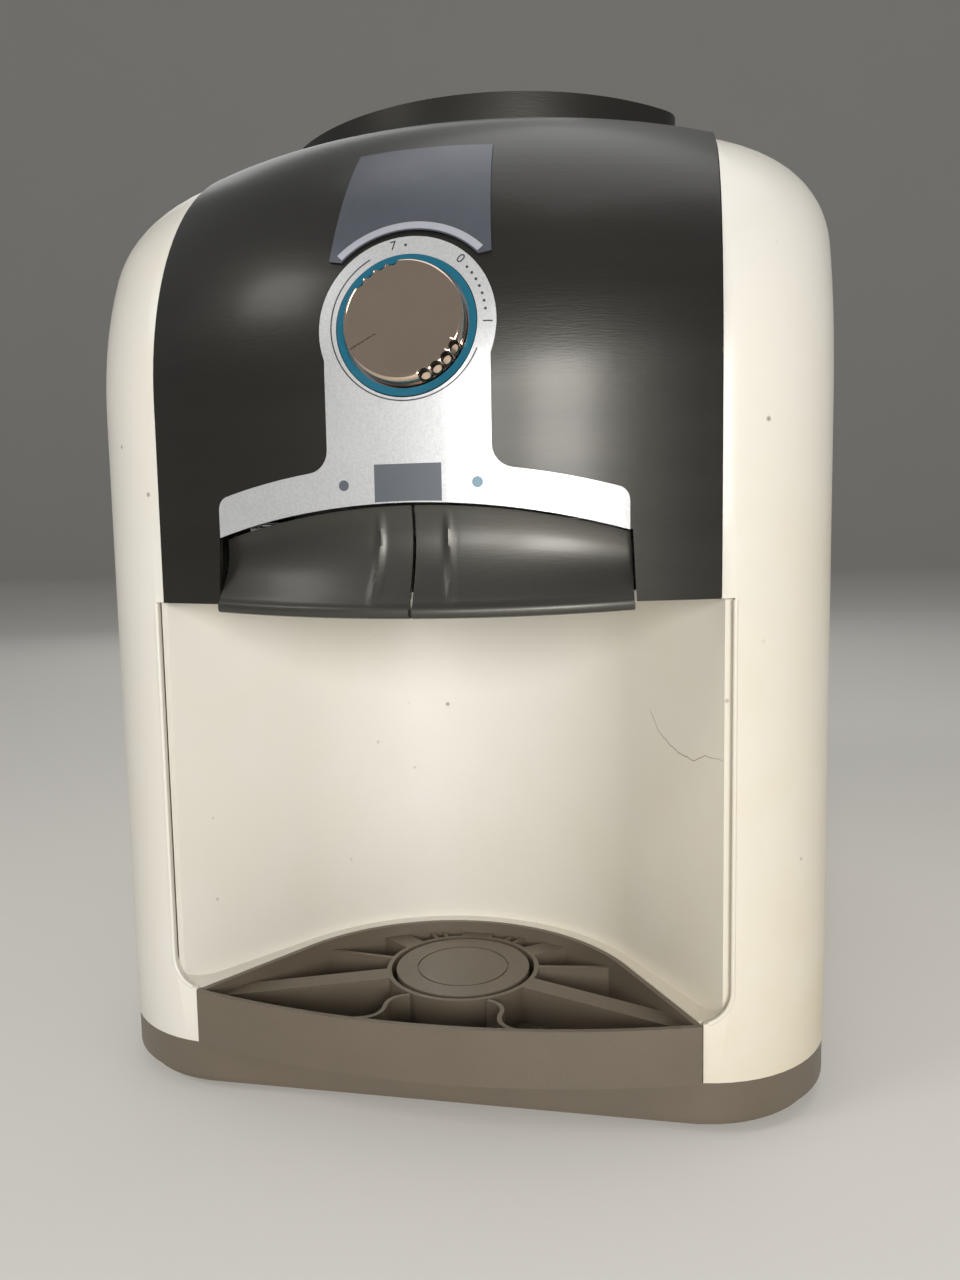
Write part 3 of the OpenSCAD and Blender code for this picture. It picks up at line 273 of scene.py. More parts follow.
def shader_group(name, inputs, outputs):
    tree = bpy.data.node_groups.new(name, "ShaderNodeTree")
    for label, kind, value in inputs:
        socket = tree.interface.new_socket(label, in_out="INPUT", socket_type=kind)
        if value is not None:
            socket.default_value = value
    for label, kind in outputs:
        tree.interface.new_socket(label, in_out="OUTPUT", socket_type=kind)
    return tree, tree.nodes.new("NodeGroupInput"), tree.nodes.new("NodeGroupOutput")


FLOAT, COLOR, VECTOR = "NodeSocketFloat", "NodeSocketColor", "NodeSocketVector"


def ramp(tree, source, low, high, to_low=0.0, to_high=1.0):
    """A value between low and high, spread over to_low to to_high."""
    node = tree.nodes.new("ShaderNodeMapRange")
    tree.links.new(source, node.inputs["Value"])
    for key, value in (("From Min", low), ("From Max", high), ("To Min", to_low), ("To Max", to_high)):
        node.inputs[key].default_value = value
    return node.outputs["Result"]


def blend_colour(tree, factor, first, second):
    node = tree.nodes.new("ShaderNodeMix")
    node.data_type = "RGBA"
    tree.links.new(factor, node.inputs["Factor"])
    tree.links.new(first, node.inputs["A"])
    tree.links.new(second, node.inputs["B"])
    return node.outputs["Result"]


def product(tree, first, second, kind="MULTIPLY"):
    """Two values multiplied, or joined by another sum; either may be a plain number."""
    node = tree.nodes.new("ShaderNodeMath")
    node.operation = kind
    for k, value in enumerate((first, second)):
        if isinstance(value, (int, float)):
            node.inputs[k].default_value = value
        else:
            tree.links.new(value, node.inputs[k])
    return node.outputs[0]


def noise(tree, vector, scale, detail=3.0, rough=0.5):
    node = tree.nodes.new("ShaderNodeTexNoise")
    tree.links.new(vector, node.inputs["Vector"])
    if isinstance(scale, (int, float)):
        node.inputs["Scale"].default_value = scale
    else:
        tree.links.new(scale, node.inputs["Scale"])
    node.inputs["Detail"].default_value = detail
    node.inputs["Roughness"].default_value = rough
    return node.outputs["Fac"]


def build_groups():
    """Shader groups that the finishes share."""
    inputs = [
        ("Vector", VECTOR, None),
        ("Colour", COLOR, (0.8, 0.8, 0.8, 1)),
        ("Shade", COLOR, (0.7, 0.7, 0.7, 1)),
        ("Patch Size", FLOAT, 8.0),
        ("Patches", FLOAT, 0.5),
        ("Speck Size", FLOAT, 60.0),
        ("Specks", FLOAT, 0.0),
        ("Grain Size", FLOAT, 900.0),
        ("Roughness", FLOAT, 0.4),
        ("Spread", FLOAT, 0.06),
        ("Ageing", FLOAT, 0.0),
        ("Aged", COLOR, (0.7, 0.6, 0.4, 1)),
    ]
    tree, source, sink = shader_group(
        "Surface wear", inputs, [("Colour", COLOR), ("Roughness", FLOAT), ("Height", FLOAT)]
    )
    into = source.outputs
    patches = ramp(tree, noise(tree, into["Vector"], into["Patch Size"], 4, 0.6), 0.38, 0.66)
    mixed = blend_colour(tree, product(tree, patches, into["Patches"]), into["Colour"], into["Shade"])
    # sun-aged plastic, towards the right and the lower part
    where = tree.nodes.new("ShaderNodeSeparateXYZ")
    tree.links.new(into["Vector"], where.inputs["Vector"])
    right = ramp(tree, where.outputs["X"], 0.03, 0.16)
    lower = ramp(tree, where.outputs["Z"], 0.34, 0.04)
    cloud = ramp(tree, noise(tree, into["Vector"], 14, 4, 0.6), 0.3, 0.7, 0.3, 1)
    old = product(tree, product(tree, right, lower), product(tree, cloud, into["Ageing"]))
    mixed = blend_colour(tree, old, mixed, into["Aged"])
    cells = tree.nodes.new("ShaderNodeTexVoronoi")
    tree.links.new(into["Vector"], cells.inputs["Vector"])
    tree.links.new(into["Speck Size"], cells.inputs["Scale"])
    near = ramp(tree, cells.outputs["Distance"], 0.03, 0.09, 1, 0)
    split = tree.nodes.new("ShaderNodeSeparateColor")
    tree.links.new(cells.outputs["Color"], split.inputs["Color"])
    some = ramp(tree, split.outputs["Red"], 0.72, 0.80)
    dark = product(tree, product(tree, near, some), into["Specks"])
    speck = tree.nodes.new("ShaderNodeMix")
    speck.data_type = "RGBA"
    tree.links.new(dark, speck.inputs["Factor"])
    tree.links.new(mixed, speck.inputs["A"])
    speck.inputs["B"].default_value = (*linear(96, 80, 58), 1)
    tree.links.new(speck.outputs["Result"], sink.inputs["Colour"])
    smear = ramp(tree, noise(tree, into["Vector"], 26, 3), 0.3, 0.7, -1, 1)
    rough = product(tree, product(tree, smear, into["Spread"]), into["Roughness"], "ADD")
    tree.links.new(rough, sink.inputs["Roughness"])
    tree.links.new(noise(tree, into["Vector"], into["Grain Size"], 2), sink.inputs["Height"])


def wear_finish(name, base, shade, rough, stretch=(1, 1, 1), bump=0.1, depth=0.0002, values=(), sockets=()):
    """A finish whose colour, roughness and grain come from the wear group."""
    finish = bpy.data.materials.new(name)
    finish.use_nodes = True
    tree = finish.node_tree
    shader = tree.nodes["Principled BSDF"]
    coords = tree.nodes.new("ShaderNodeTexCoord")
    place = tree.nodes.new("ShaderNodeMapping")
    place.inputs["Scale"].default_value = stretch
    wear = tree.nodes.new("ShaderNodeGroup")
    wear.node_tree = bpy.data.node_groups["Surface wear"]
    tree.links.new(coords.outputs["Object"], place.inputs["Vector"])
    tree.links.new(place.outputs["Vector"], wear.inputs["Vector"])
    wear.inputs["Colour"].default_value = (*base, 1)
    wear.inputs["Shade"].default_value = (*shade, 1)
    wear.inputs["Roughness"].default_value = rough
    for key, value in dict(values).items():
        wear.inputs[key].default_value = value
    tree.links.new(wear.outputs["Colour"], shader.inputs["Base Color"])
    tree.links.new(wear.outputs["Roughness"], shader.inputs["Roughness"])
    if bump:
        grain = tree.nodes.new("ShaderNodeBump")
        grain.inputs["Strength"].default_value = bump
        grain.inputs["Distance"].default_value = depth
        tree.links.new(wear.outputs["Height"], grain.inputs["Height"])
        tree.links.new(grain.outputs["Normal"], shader.inputs["Normal"])
    for key, value in dict(sockets).items():
        shader.inputs[key].default_value = value
    return finish


def scaled(value, by):
    return tuple(min(1.0, v * by) for v in value)


def build_finishes():
    """Every finish of the dispenser, by its slot in the record."""
    c = colours()
    shell, aged, charcoal, taupe = tuple(c.shell), tuple(c.shell_aged), tuple(c.charcoal), tuple(c.taupe)
    silver = tuple(c.silver)
    # grain drawn out along the panel's width
    brushed = (0.12, 0.12, 1)
    return {
        "white_abs": wear_finish(
            "ivory cabinet plastic", shell, aged, 0.36, bump=0.12, depth=0.0003,
            values={"Patch Size": 5, "Patches": 0.45, "Specks": 0.7, "Speck Size": 70, "Grain Size": 700,
                    "Ageing": 0.75, "Aged": (*linear(212, 196, 158), 1)},
            sockets={"Coat Weight": 0.15, "Coat Roughness": 0.25}),
        "charcoal": wear_finish(
            "charcoal metallic panel", charcoal, scaled(charcoal, 0.72), 0.40,
            stretch=brushed, bump=0.22, depth=0.0002,
            values={"Patch Size": 60, "Patches": 0.35, "Grain Size": 1800, "Spread": 0.05},
            sockets={"Metallic": 0.75, "Coat Weight": 0.2, "Coat Roughness": 0.2}),
        # painted light: the paddles get a lighter copy of the panel's charcoal, standing in for the light
        # that falls on them
        "paddle_charcoal_lit": wear_finish(
            "charcoal paddle, painted lighter", scaled(charcoal, 1.7), scaled(charcoal, 1.3), 0.40,
            stretch=brushed, bump=0.15, depth=0.0002,
            values={"Patch Size": 60, "Patches": 0.3, "Grain Size": 1800, "Spread": 0.05},
            sockets={"Metallic": 0.7, "Coat Weight": 0.2, "Coat Roughness": 0.2}),
        "label_silver": wear_finish(
            "pearl label film", scaled(silver, 0.86), scaled(silver, 0.7), 0.38, bump=0.15, depth=0.0001,
            values={"Patch Size": 1100, "Patches": 0.75, "Grain Size": 2500},
            sockets={"Metallic": 0.35, "Coat Weight": 0.2}),
        "name_blue": wear_finish(
            "slate film", tuple(c.slate), scaled(tuple(c.slate), 0.8), 0.34, bump=0.08, depth=0.0001,
            values={"Patch Size": 200, "Patches": 0.3, "Grain Size": 2500}, sockets={"Metallic": 0.35}),
        "teal_print": wear_finish(
            "teal ring", tuple(c.teal), scaled(tuple(c.teal), 0.8), 0.3, bump=0.05,
            values={"Patch Size": 90, "Patches": 0.3}, sockets={"Coat Weight": 0.3}),
        "knob_chrome": wear_finish(
            "bronze plated knob", tuple(c.bronze), scaled(tuple(c.bronze), 0.9), 0.10, bump=0.02,
            values={"Patch Size": 40, "Patches": 0.5, "Spread": 0.03}, sockets={"Metallic": 1.0}),
        "bright_chrome": wear_finish(
            "bright plating", linear(205, 205, 208), linear(180, 180, 184), 0.12, bump=0.02,
            values={"Patches": 0.3, "Spread": 0.03}, sockets={"Metallic": 1.0}),
        "taupe": wear_finish(
            "taupe base plastic", taupe, scaled(taupe, 0.82), 0.42, bump=0.35, depth=0.0003,
            values={"Patch Size": 30, "Patches": 0.4, "Grain Size": 1400, "Specks": 0.15, "Speck Size": 240},
            sockets={"Coat Weight": 0.05}),
        "black_plastic": wear_finish(
            "black moulding", linear(34, 34, 35), linear(22, 22, 23), 0.42, bump=0.2,
            values={"Patches": 0.4, "Grain Size": 1500}),
        "natural_plastic": wear_finish(
            "natural moulding", linear(226, 228, 224), linear(210, 212, 205), 0.35, bump=0.05,
            values={"Patches": 0.4}, sockets={"Subsurface Weight": 0.1, "Subsurface Scale": 0.002}),
        "sheet_steel": wear_finish(
            "galvanised sheet", linear(186, 189, 192), linear(160, 164, 168), 0.40, bump=0.1,
            values={"Patch Size": 90, "Patches": 0.8, "Grain Size": 500}, sockets={"Metallic": 0.9}),
        "black_enamel": wear_finish(
            "black enamel", linear(30, 30, 32), linear(22, 22, 24), 0.28, bump=0.06,
            values={"Patches": 0.4}, sockets={"Coat Weight": 0.5}),
        "bright_steel": wear_finish(
            "zinc plated steel", linear(190, 192, 196), linear(165, 168, 172), 0.28, bump=0.05,
            values={"Patches": 0.5}, sockets={"Metallic": 1.0}),
        "stainless": wear_finish(
            "stainless sheet", linear(196, 198, 200), linear(176, 178, 182), 0.26,
            stretch=(1, 1, 0.1), bump=0.08,
            values={"Patches": 0.5}, sockets={"Metallic": 1.0}),
        "copper": wear_finish(
            "drawn copper", linear(196, 120, 84), linear(140, 84, 58), 0.3, bump=0.05,
            values={"Patch Size": 40, "Patches": 0.7}, sockets={"Metallic": 1.0}),
        "rubber": wear_finish(
            "moulded rubber", linear(38, 38, 38), linear(28, 28, 28), 0.7, bump=0.25,
            values={"Patches": 0.4, "Grain Size": 1600}),
        "silicone": wear_finish(
            "milky silicone", linear(222, 226, 222), linear(205, 210, 205), 0.4, bump=0.05,
            values={"Patches": 0.4}, sockets={"Subsurface Weight": 0.2, "Subsurface Scale": 0.002}),
        "foam": wear_finish(
            "bead foam", linear(238, 238, 234), linear(220, 220, 214), 0.8, bump=0.6, depth=0.0006,
            values={"Patch Size": 220, "Patches": 0.6, "Grain Size": 260}),
        "cord_pvc": wear_finish(
            "black cord sheath", linear(28, 28, 29), linear(20, 20, 21), 0.32, bump=0.1,
            values={"Patches": 0.3, "Grain Size": 1400}, sockets={"Coat Weight": 0.3}),
        "band": wear_finish(
            "dark band print", tuple(c.band), scaled(tuple(c.band), 0.9), 0.4, bump=0.03,
            values={"Patch Size": 200, "Patches": 0.3}),
        "ink": wear_finish(
            "dark ink", tuple(c.ink), scaled(tuple(c.ink), 0.9), 0.45, bump=0.02, values={"Patches": 0.3}),
        "crack": wear_finish(
            "dirt in a crack", linear(120, 98, 70), linear(92, 74, 52), 0.7, bump=0.05,
            values={"Patches": 0.6}),
        # painted shade: a dark plating for the walls of the knob's grips and pointer
        "grip_shade": wear_finish(
            "painted shade on plating", linear(40, 34, 30), linear(28, 24, 21), 0.35, bump=0.02,
            values={"Patches": 0.3}, sockets={"Metallic": 0.6}),
        "pale": wear_finish(
            "pale crescent print", linear(176, 178, 188), linear(165, 167, 176), 0.38, bump=0.02,
            values={"Patches": 0.3}, sockets={"Metallic": 0.3}),
    }


FINISHES = {}


class DISPENSER_OT_stage(bpy.types.Operator):
    """Camera, soft lamps, plain floor and view settings"""

    bl_idname = "dispenser.stage"
    bl_label = "Stage"

    def execute(self, context):
        scene = context.scene
        yaw, pitch, roll = (math.radians(v) for v in (10.726, 5.579, -1.042))
        level = Vector((math.cos(yaw), math.sin(yaw), 0))
        ahead = Vector((-math.sin(yaw) * math.cos(pitch), math.cos(yaw) * math.cos(pitch),
                        -math.sin(pitch)))
        above = level.cross(ahead)
        right = level * math.cos(roll) + above * math.sin(roll)
        up = above * math.cos(roll) - level * math.sin(roll)
        lens = bpy.data.cameras.new("camera")
        lens.sensor_width = 36
        lens.lens = 27.331875
        lens.clip_start = 0.01
        camera = bpy.data.objects.new("camera", lens)
        scene.collection.objects.link(camera)
        turn = Matrix((right, up, -ahead)).transposed().to_4x4()
        camera.matrix_world = Matrix.Translation((0.08835, FRONT_Y - 0.36116, 0.22783)) @ turn
        scene.camera = camera

        deselect()
        floor_size, wall_height, sweep = 14, 6, 3
        far = floor_size / 2 - 0.1
        bpy.ops.mesh.primitive_plane_add(size=floor_size, location=(0, 0, 0))
        floor = context.active_object
        mesh = edit(floor)
        for edge in mesh.edges:
            edge.select = all(v.co.y > far for v in edge.verts)
        bpy.ops.mesh.extrude_region_move(TRANSFORM_OT_translate={"value": (0, 0, wall_height)})
        mesh = bmesh.from_edit_mesh(floor.data)
        bpy.ops.mesh.select_all(action="DESELECT")
        for edge in mesh.edges:
            edge.select = all(v.co.y > far and abs(v.co.z) < 1e-6 for v in edge.verts)
        bpy.ops.mesh.bevel(offset=sweep, segments=20)
        close()
        bpy.ops.object.shade_smooth()
        settle(floor)
        floor.name = "ground"
        c = tuple(colours().floor)
        ground = wear_finish("plain ground", c, scaled(c, 0.97), 0.6, bump=0.02,
                             values={"Patch Size": 2, "Patches": 0.4})
        floor.data.materials.append(ground)

        world = bpy.data.worlds.new("studio")
        scene.world = world
        world.use_nodes = True
        back = world.node_tree.nodes["Background"]
        back.inputs["Color"].default_value = (0.90, 0.90, 0.90, 1)
        back.inputs["Strength"].default_value = 0.26
        lit_at = Vector((0, 0, 0.2))
        for name, at, size, power, tint in (
            ("key", (-1.5, -1.3, 1.8), (0.6, 0.6), 7, (1, 1, 1)),
            ("window", (0.52, -1.65, 0.50), (0.38, 0.5), 15, (1, 0.98, 0.95)),
            ("front", (0.02, -1.5, 0.42), (0.3, 0.3), 3.4, (1, 1, 1)),
            ("top", (0.2, 0.3, 2.2), (1.6, 1.6), 9, (1, 1, 1)),
            ("rear", (-0.7, 1.7, 1.2), (1.2, 1.2), 6, (1, 1, 1)),
        ):
            lamp = bpy.data.lights.new(name, "AREA")
            lamp.shape = "RECTANGLE"
            lamp.size, lamp.size_y = size
            lamp.energy = power
            lamp.color = tint
            holder = bpy.data.objects.new(name, lamp)
            scene.collection.objects.link(holder)
            aim = (lit_at - Vector(at)).to_track_quat("-Z", "Y")
            holder.matrix_world = Matrix.Translation(at) @ aim.to_matrix().to_4x4()
        scene.view_settings.view_transform = "Standard"
        return {"FINISHED"}


class DISPENSER_OT_lead(bpy.types.Operator):
    """Mains lead: down from the strain relief to the ground and into a flat coil with its plug"""

    bl_idname = "dispenser.lead"
    bl_label = "Mains lead"

    def execute(self, context):
        s = sizes()
        # the listed run from the strain relief, in millimetres from the front's flat
        route = [(-105, 400, 45), (-105, 408, 45), (-105, 416, 44), (-105, 424, 42), (-105, 433, 37),
                 (-104, 441, 31), (-103, 449, 24), (-101, 457, 17), (-98, 464, 11), (-93, 471, 7),
                 (-86, 477, 4.5), (-77, 482, 3.6), (-66, 485, 3.6), (-54, 486, 3.6), (-40, 486, 3.6),
                 (-26, 486, 3.6), (-12, 486, 3.6)]
        tail = [(30, 484, 10.6), (38, 482, 10.4), (46, 479, 10), (54, 476, 9.6), (62, 473, 9.4),
                (70, 471, 9.2), (77, 470, 9.2)]
        outer, pitch = s.coil_outer / MM, s.pitch / MM
        middle_x, middle_y = 10, 440
        lying, layer = 3.6, 7.05

        def eased(x, a, b):
            t = min(1.0, max(0.0, (x - a) / (b - a)))
            return t * t * (3 - 2 * t)

        coil = []
        turns, per_turn = 5, 32
        for k in range(turns * per_turn + 1):
            a = 360 * k / per_turn
            # two inward steps low down, a climb in the third turn, two outward steps on top
            steps = -eased(a, 250, 350) - eased(a, 610, 710) + eased(a, 1100, 1200) + eased(a, 1460, 1560)
            r = outer + pitch * steps
            turned = math.radians(a)
            coil.append((middle_x + r * math.sin(turned), middle_y + r * math.cos(turned),
                         lying + layer * eased(a, 860, 950)))
        points = [front(*at) for at in route + coil + tail]
        line = bpy.data.curves.new("mains_lead", "CURVE")
        line.dimensions = "3D"
        line.bevel_depth = s.cord / 2
        line.bevel_resolution = 4
        line.use_fill_caps = True
        spline = line.splines.new("POLY")
        spline.points.add(len(points) - 1)
        for point, at in zip(spline.points, points):
            point.co = (*at, 1)
            point.radius = 1
        spline.use_smooth = True
        lead = bpy.data.objects.new("mains_lead", line)
        context.scene.collection.objects.link(lead)
        line.materials.append(FINISHES["cord_pvc"])
        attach(lead, "cabinet")
        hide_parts("power_cord", "cord_coil")
        return {"FINISHED"}


class DISPENSER_OT_finishes(bpy.types.Operator):
    """Finishes of the pieces that keep their construction shape"""

    bl_idname = "dispenser.finishes"
    bl_label = "Finishes"

    def execute(self, context):
        slots = {row["node"]: row["material_slot"] for row in frame["record"]["subparts"]}
        for name, piece in NODES.items():
            # the paddles take the lighter copy of the charcoal, which is painted light
            finish = FINISHES["paddle_charcoal_lit" if name.endswith("_paddle") else slots[name]]
            piece.data.materials.clear()
            piece.data.materials.append(finish)
        return {"FINISHED"}


def ring_strip(radius_in, radius_out, start, end, steps):
    """A flat strip round the dial from start to end, in degrees clockwise from the top."""
    deselect()
    bpy.ops.mesh.primitive_plane_add(size=2 * MM, location=(0, 0, 0))
    strip = bpy.context.active_object
    mesh = edit(strip)
    corners = sorted(mesh.verts, key=lambda v: (v.co.x, v.co.y))
    bmesh.ops.delete(mesh, geom=corners[2:], context="VERTS")
    mesh.verts.ensure_lookup_table()
    for vert, r in zip(mesh.verts, (radius_in, radius_out)):
        a = math.radians(start)
        vert.co = dial_point(r * math.sin(a), r * math.cos(a), MARK_AHEAD)
        vert.select = True
    for e in mesh.edges:
        e.select = True
    bmesh.update_edit_mesh(strip.data)
    bpy.ops.mesh.spin(steps=steps, angle=math.radians(end - start), center=DIAL_AT, axis=DIAL_OUT)
    close()
    return strip


def dial_point(x, y, out):
    """A point right of, above and in front of the dial's middle."""
    return DIAL_AT + Vector((1, 0, 0)) * x + DIAL_UP * y + DIAL_OUT * out


def from_rows(name, rows, closed=False):
    """A surface through rows of points, each row as long as the others."""
    mesh = bpy.data.meshes.new(name)
    net = bmesh.new()
    verts = [[net.verts.new(p) for p in row] for row in rows]
    for low, high in zip(verts, verts[1:]):
        count = len(low) if closed else len(low) - 1
        for k in range(count):
            m = (k + 1) % len(low)
            net.faces.new((low[k], low[m], high[m], high[k]))
    net.to_mesh(mesh)
    net.free()
    piece = bpy.data.objects.new(name, mesh)
    bpy.context.scene.collection.objects.link(piece)
    return piece


def front(x, y, z):
    """A point in millimetres, with Y from the white front's flat, in the part's frame."""
    return Vector((x * MM, y * MM + FRONT_Y, z * MM))


def prism(name, outline, low, high):
    """An upright block over an outline, both in millimetres from the front's flat."""
    rows = [[front(x, y, z) for x, y in outline] for z in (low, high)]
    block = from_rows(name, rows, closed=True)
    cap(block, level_at(low), level_at(high))
    return block


def cut(piece, tool):
    """Cuts a piece with a block, which is then removed."""
    knife = piece.modifiers.new("cut", "BOOLEAN")
    knife.operation = "DIFFERENCE"
    knife.solver = "EXACT"
    knife.object = tool
    apply_all(piece)
    bpy.data.objects.remove(tool)


def rounded(piece, width, segments=2, angle=35):
    """Softens a piece's sharp edges and shades it smooth."""
    soft = piece.modifiers.new("soft edges", "BEVEL")
    soft.width = width * MM
    soft.segments = segments
    soft.limit_method = "ANGLE"
    soft.angle_limit = math.radians(angle)
    soft.use_clamp_overlap = True
    apply_all(piece)
    smooth(piece, angle)


def section(z):
    """The cabinet's outline at a height: from the left rear, round the front, to the right rear."""
    side, brow = 0.0, 0.0
    if z > TOP - SHOULDER:
        side = SHOULDER - math.sqrt(max(0.0, SHOULDER ** 2 - (z - TOP + SHOULDER) ** 2))
    if z > TOP - BROW:
        brow = BROW - math.sqrt(max(0.0, BROW ** 2 - (z - TOP + BROW) ** 2))
    half = HALF_W - side
    r = min(CORNER, half - 4)
    points = []
    for k in range(13):
        points.append((-half, DEPTH + (brow + r - DEPTH) * k / 12))
    for k in range(1, 17):
        a = math.pi / 2 * k / 16
        points.append((-half + r * (1 - math.cos(a)), brow + r * (1 - math.sin(a))))
    for k in range(1, 9):
        points.append((-(half - r) * (1 - k / 8), brow))
    return points + [(-x, y) for x, y in reversed(points[:-1])]


def collar_line(grown):
    """The collar's outline about the bottle's axis, in millimetres."""
    r = COLLAR_RADIUS + grown
    flat = COLLAR_HALF + grown
    corner = COLLAR_CORNER + grown
    cx = flat - corner
    cy = math.sqrt((r - corner) ** 2 - cx ** 2)
    a = math.atan2(cy, cx)
    quarter = [(cx + corner * math.cos(a * k / 8), cy + corner * math.sin(a * k / 8)) for k in range(9)]
    round_turns = [a + (math.pi / 2 - a) * k / 16 for k in range(1, 17)]
    quarter += [(r * math.cos(t), r * math.sin(t)) for t in round_turns]
    half = quarter + [(-x, y) for x, y in reversed(quarter[:-1])]
    return half + [(x, -y) for x, y in reversed(half)]


def slot_outline(half, ahead, back):
    """A box's outline, as wide as twice half, from ahead to back."""
    return [(-half, ahead), (half, ahead), (half, back), (-half, back)]


class DISPENSER_OT_cabinet(bpy.types.Operator):
    """White cabinet shell with blended corners, its collar seat and the lip round the alcove"""

    bl_idname = "dispenser.cabinet"
    bl_label = "Cabinet"

    def execute(self, context):
        # a few levels up the straight walls, then closer ones round the brow and the shoulders
        levels = [BASE_TOP + 0.05, 60, 120, 180, 240, 286]
        levels += [TOP - BROW + BROW * math.sin(math.radians(a)) for a in range(4, 30, 4)]
        levels += [TOP - SHOULDER + SHOULDER * math.sin(math.radians(a)) for a in range(0, 90, 4)]
        levels = sorted(z for z in levels if z < TOP - 0.02) + [TOP]
        shell = from_rows("cabinet_shell", [[front(x, y, z) for x, y in section(z)] for z in levels])
        edit(shell)
        mesh = bmesh.from_edit_mesh(shell.data)
        top_edge = level_at(TOP)
        for e in mesh.edges:
            e.select = e.is_boundary and top_edge(e)
        bpy.ops.mesh.edge_face_add()
        bpy.ops.mesh.select_all(action="SELECT")
        bpy.ops.mesh.remove_doubles(threshold=0.00002)
        mesh = bmesh.from_edit_mesh(shell.data)
        side = max(mesh.faces, key=lambda f: f.calc_center_median().x)
        if side.normal.x < 0:
            bpy.ops.mesh.flip_normals()
        close()
        wall = shell.modifiers.new("wall", "SOLIDIFY")
        wall.thickness = SHELL_WALL * MM
        wall.offset = -1
        wall.use_even_offset = False
        apply_all(shell)
        panel_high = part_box("front_panel")[1]
        panel_half = panel_high.x / MM + 0.4
        panel_back = (panel_high.y - FRONT_Y) / MM + 0.3
        # every opening starts ahead of the front and ends above the top, where it is open there
        ahead, above = -60, 440
        cut(shell, prism("opening", slot_outline(panel_half, ahead, panel_back), ALCOVE_TOP - 0.02, above))
        alcove = prism("opening", slot_outline(ALCOVE_HALF, ahead, ALCOVE_BACK), ALCOVE_LOW, ALCOVE_TOP)
        mesh = edit(alcove)
        for e in mesh.edges:
            low = all(abs(v.co.z - ALCOVE_LOW * MM) < 1e-6 for v in e.verts)
            e.select = low and abs(e.verts[0].co.y - e.verts[1].co.y) > 0.02
        bpy.ops.mesh.bevel(offset=ALCOVE_CORNER * MM, segments=10)
        close()
        cut(shell, alcove)
        cut(shell, prism("opening", slot_outline(TRAY_HALF, ahead, ALCOVE_BACK), 10, ALCOVE_LOW + 1))
        collar_low, collar_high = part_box("bottle_collar")
        seat = ((collar_low.y + collar_high.y) / 2 - FRONT_Y) / MM

        def collar_block(name, grown, low, high):
            return prism(name, [(x, y + seat) for x, y in collar_line(grown)], low, high)

        cut(shell, collar_block("opening", COLLAR_GAP, TOP - 21, above))
        rounded(shell, 0.7)
        keep(shell, "cabinet_shell", "cabinet", FINISHES["white_abs"])
        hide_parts("front_housing", "side_panel_left", "side_panel_right", "top_cover")
        curb_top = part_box("top_cover")[1].z / MM
        curb = collar_block("curb", CURB_GROWN, TOP - 0.5, curb_top)
        cut(curb, collar_block("opening", COLLAR_GAP, TOP - 31, above))
        cut(curb, prism("opening", slot_outline(panel_half, ahead, panel_back), ALCOVE_TOP, above))
        rounded(curb, 0.4)
        keep(curb, "collar_curb", "cabinet", FINISHES["white_abs"])
        self.lip()
        return {"FINISHED"}

    def lip(self):
        """A thin rounded bead along the alcove's two upright edges and lower corners."""
        edge = ALCOVE_HALF + 0.3
        wide, deep, around = 0.9, 0.75, 10
        for side, name in ((-1, "alcove_lip_left"), (1, "alcove_lip_right")):
            path = [(edge, ALCOVE_TOP - 0.5 - 8 * k) for k in range(18)]
            path += [(edge - ALCOVE_CORNER * (1 - math.cos(math.radians(a))),
                      ALCOVE_LOW + ALCOVE_CORNER * (1 - math.sin(math.radians(a))))
                     for a in range(0, 76, 6)]
            rows = []
            for k, (x, z) in enumerate(path):
                ahead = path[min(k + 1, len(path) - 1)]
                behind = path[max(k - 1, 0)]
                run = Vector((ahead[0] - behind[0], 0, ahead[1] - behind[1])).normalized()
                across = Vector((run.z, 0, -run.x))
                inset = CORNER - math.sqrt(CORNER ** 2 - max(0.0, x - (HALF_W - CORNER)) ** 2)
                ring = []
                for j in range(around):
                    a = 2 * math.pi * j / around
                    p = Vector((x, inset + 0.15 + deep * math.sin(a), z)) + across * (wide * math.cos(a))
                    ring.append(front(side * p.x, p.y, p.z))
                rows.append(ring)
            bead = from_rows(name, rows, closed=True)
            cap(bead, lambda e: True)
            smooth(bead, 50)
            keep(bead, name, "cabinet", FINISHES["white_abs"])


class DISPENSER_OT_hairline(bpy.types.Operator):
    """An old hairline crack in the alcove's right wall"""

    bl_idname = "dispenser.hairline"
    bl_label = "Hairline"

    def execute(self, context):
        wall = NODES["alcove_liner"]
        bends = [(80, 42, 158), (84, 38, 151), (89, 32, 146), (95, 24, 143.4), (98, 20, 142.6),
                 (103, 13.6, 145.6), (107, 8.6, 146.4), (110.5, 4.2, 145.4)]
        per_bend = 5
        widest, stands_out, goes_in = 0.16 * MM, 0.08 * MM, 0.05 * MM
        line = []
        for a, b in zip(bends, bends[1:]):
            for k in range(per_bend):
                at = front(*(p + (q - p) * k / per_bend for p, q in zip(a, b)))
                wander = 0.35 * math.sin(7.1 * len(line)) + 0.25 * math.sin(2.3 * len(line))
                line.append(at + Vector((0, 0, wander * MM)))
        rows = []
        for k, at in enumerate(line):
            found, place, normal, _ = wall.closest_point_on_mesh(at)
            if not found:
                raise RuntimeError("the hairline doesn't meet the alcove's wall")
            run = (line[min(k + 1, len(line) - 1)] - line[max(k - 1, 0)]).normalized()
            across = run.cross(normal).normalized()
            wide = widest * (1 - 0.6 * abs(2 * k / (len(line) - 1) - 0.9))
            rows.append([place + across * wide, place + normal * stands_out, place - across * wide,
                         place - normal * goes_in])
        crack = from_rows("alcove_hairline", rows, closed=True)
        cap(crack, lambda e: True)
        keep(crack, "alcove_hairline", "cabinet", FINISHES["crack"])
        return {"FINISHED"}


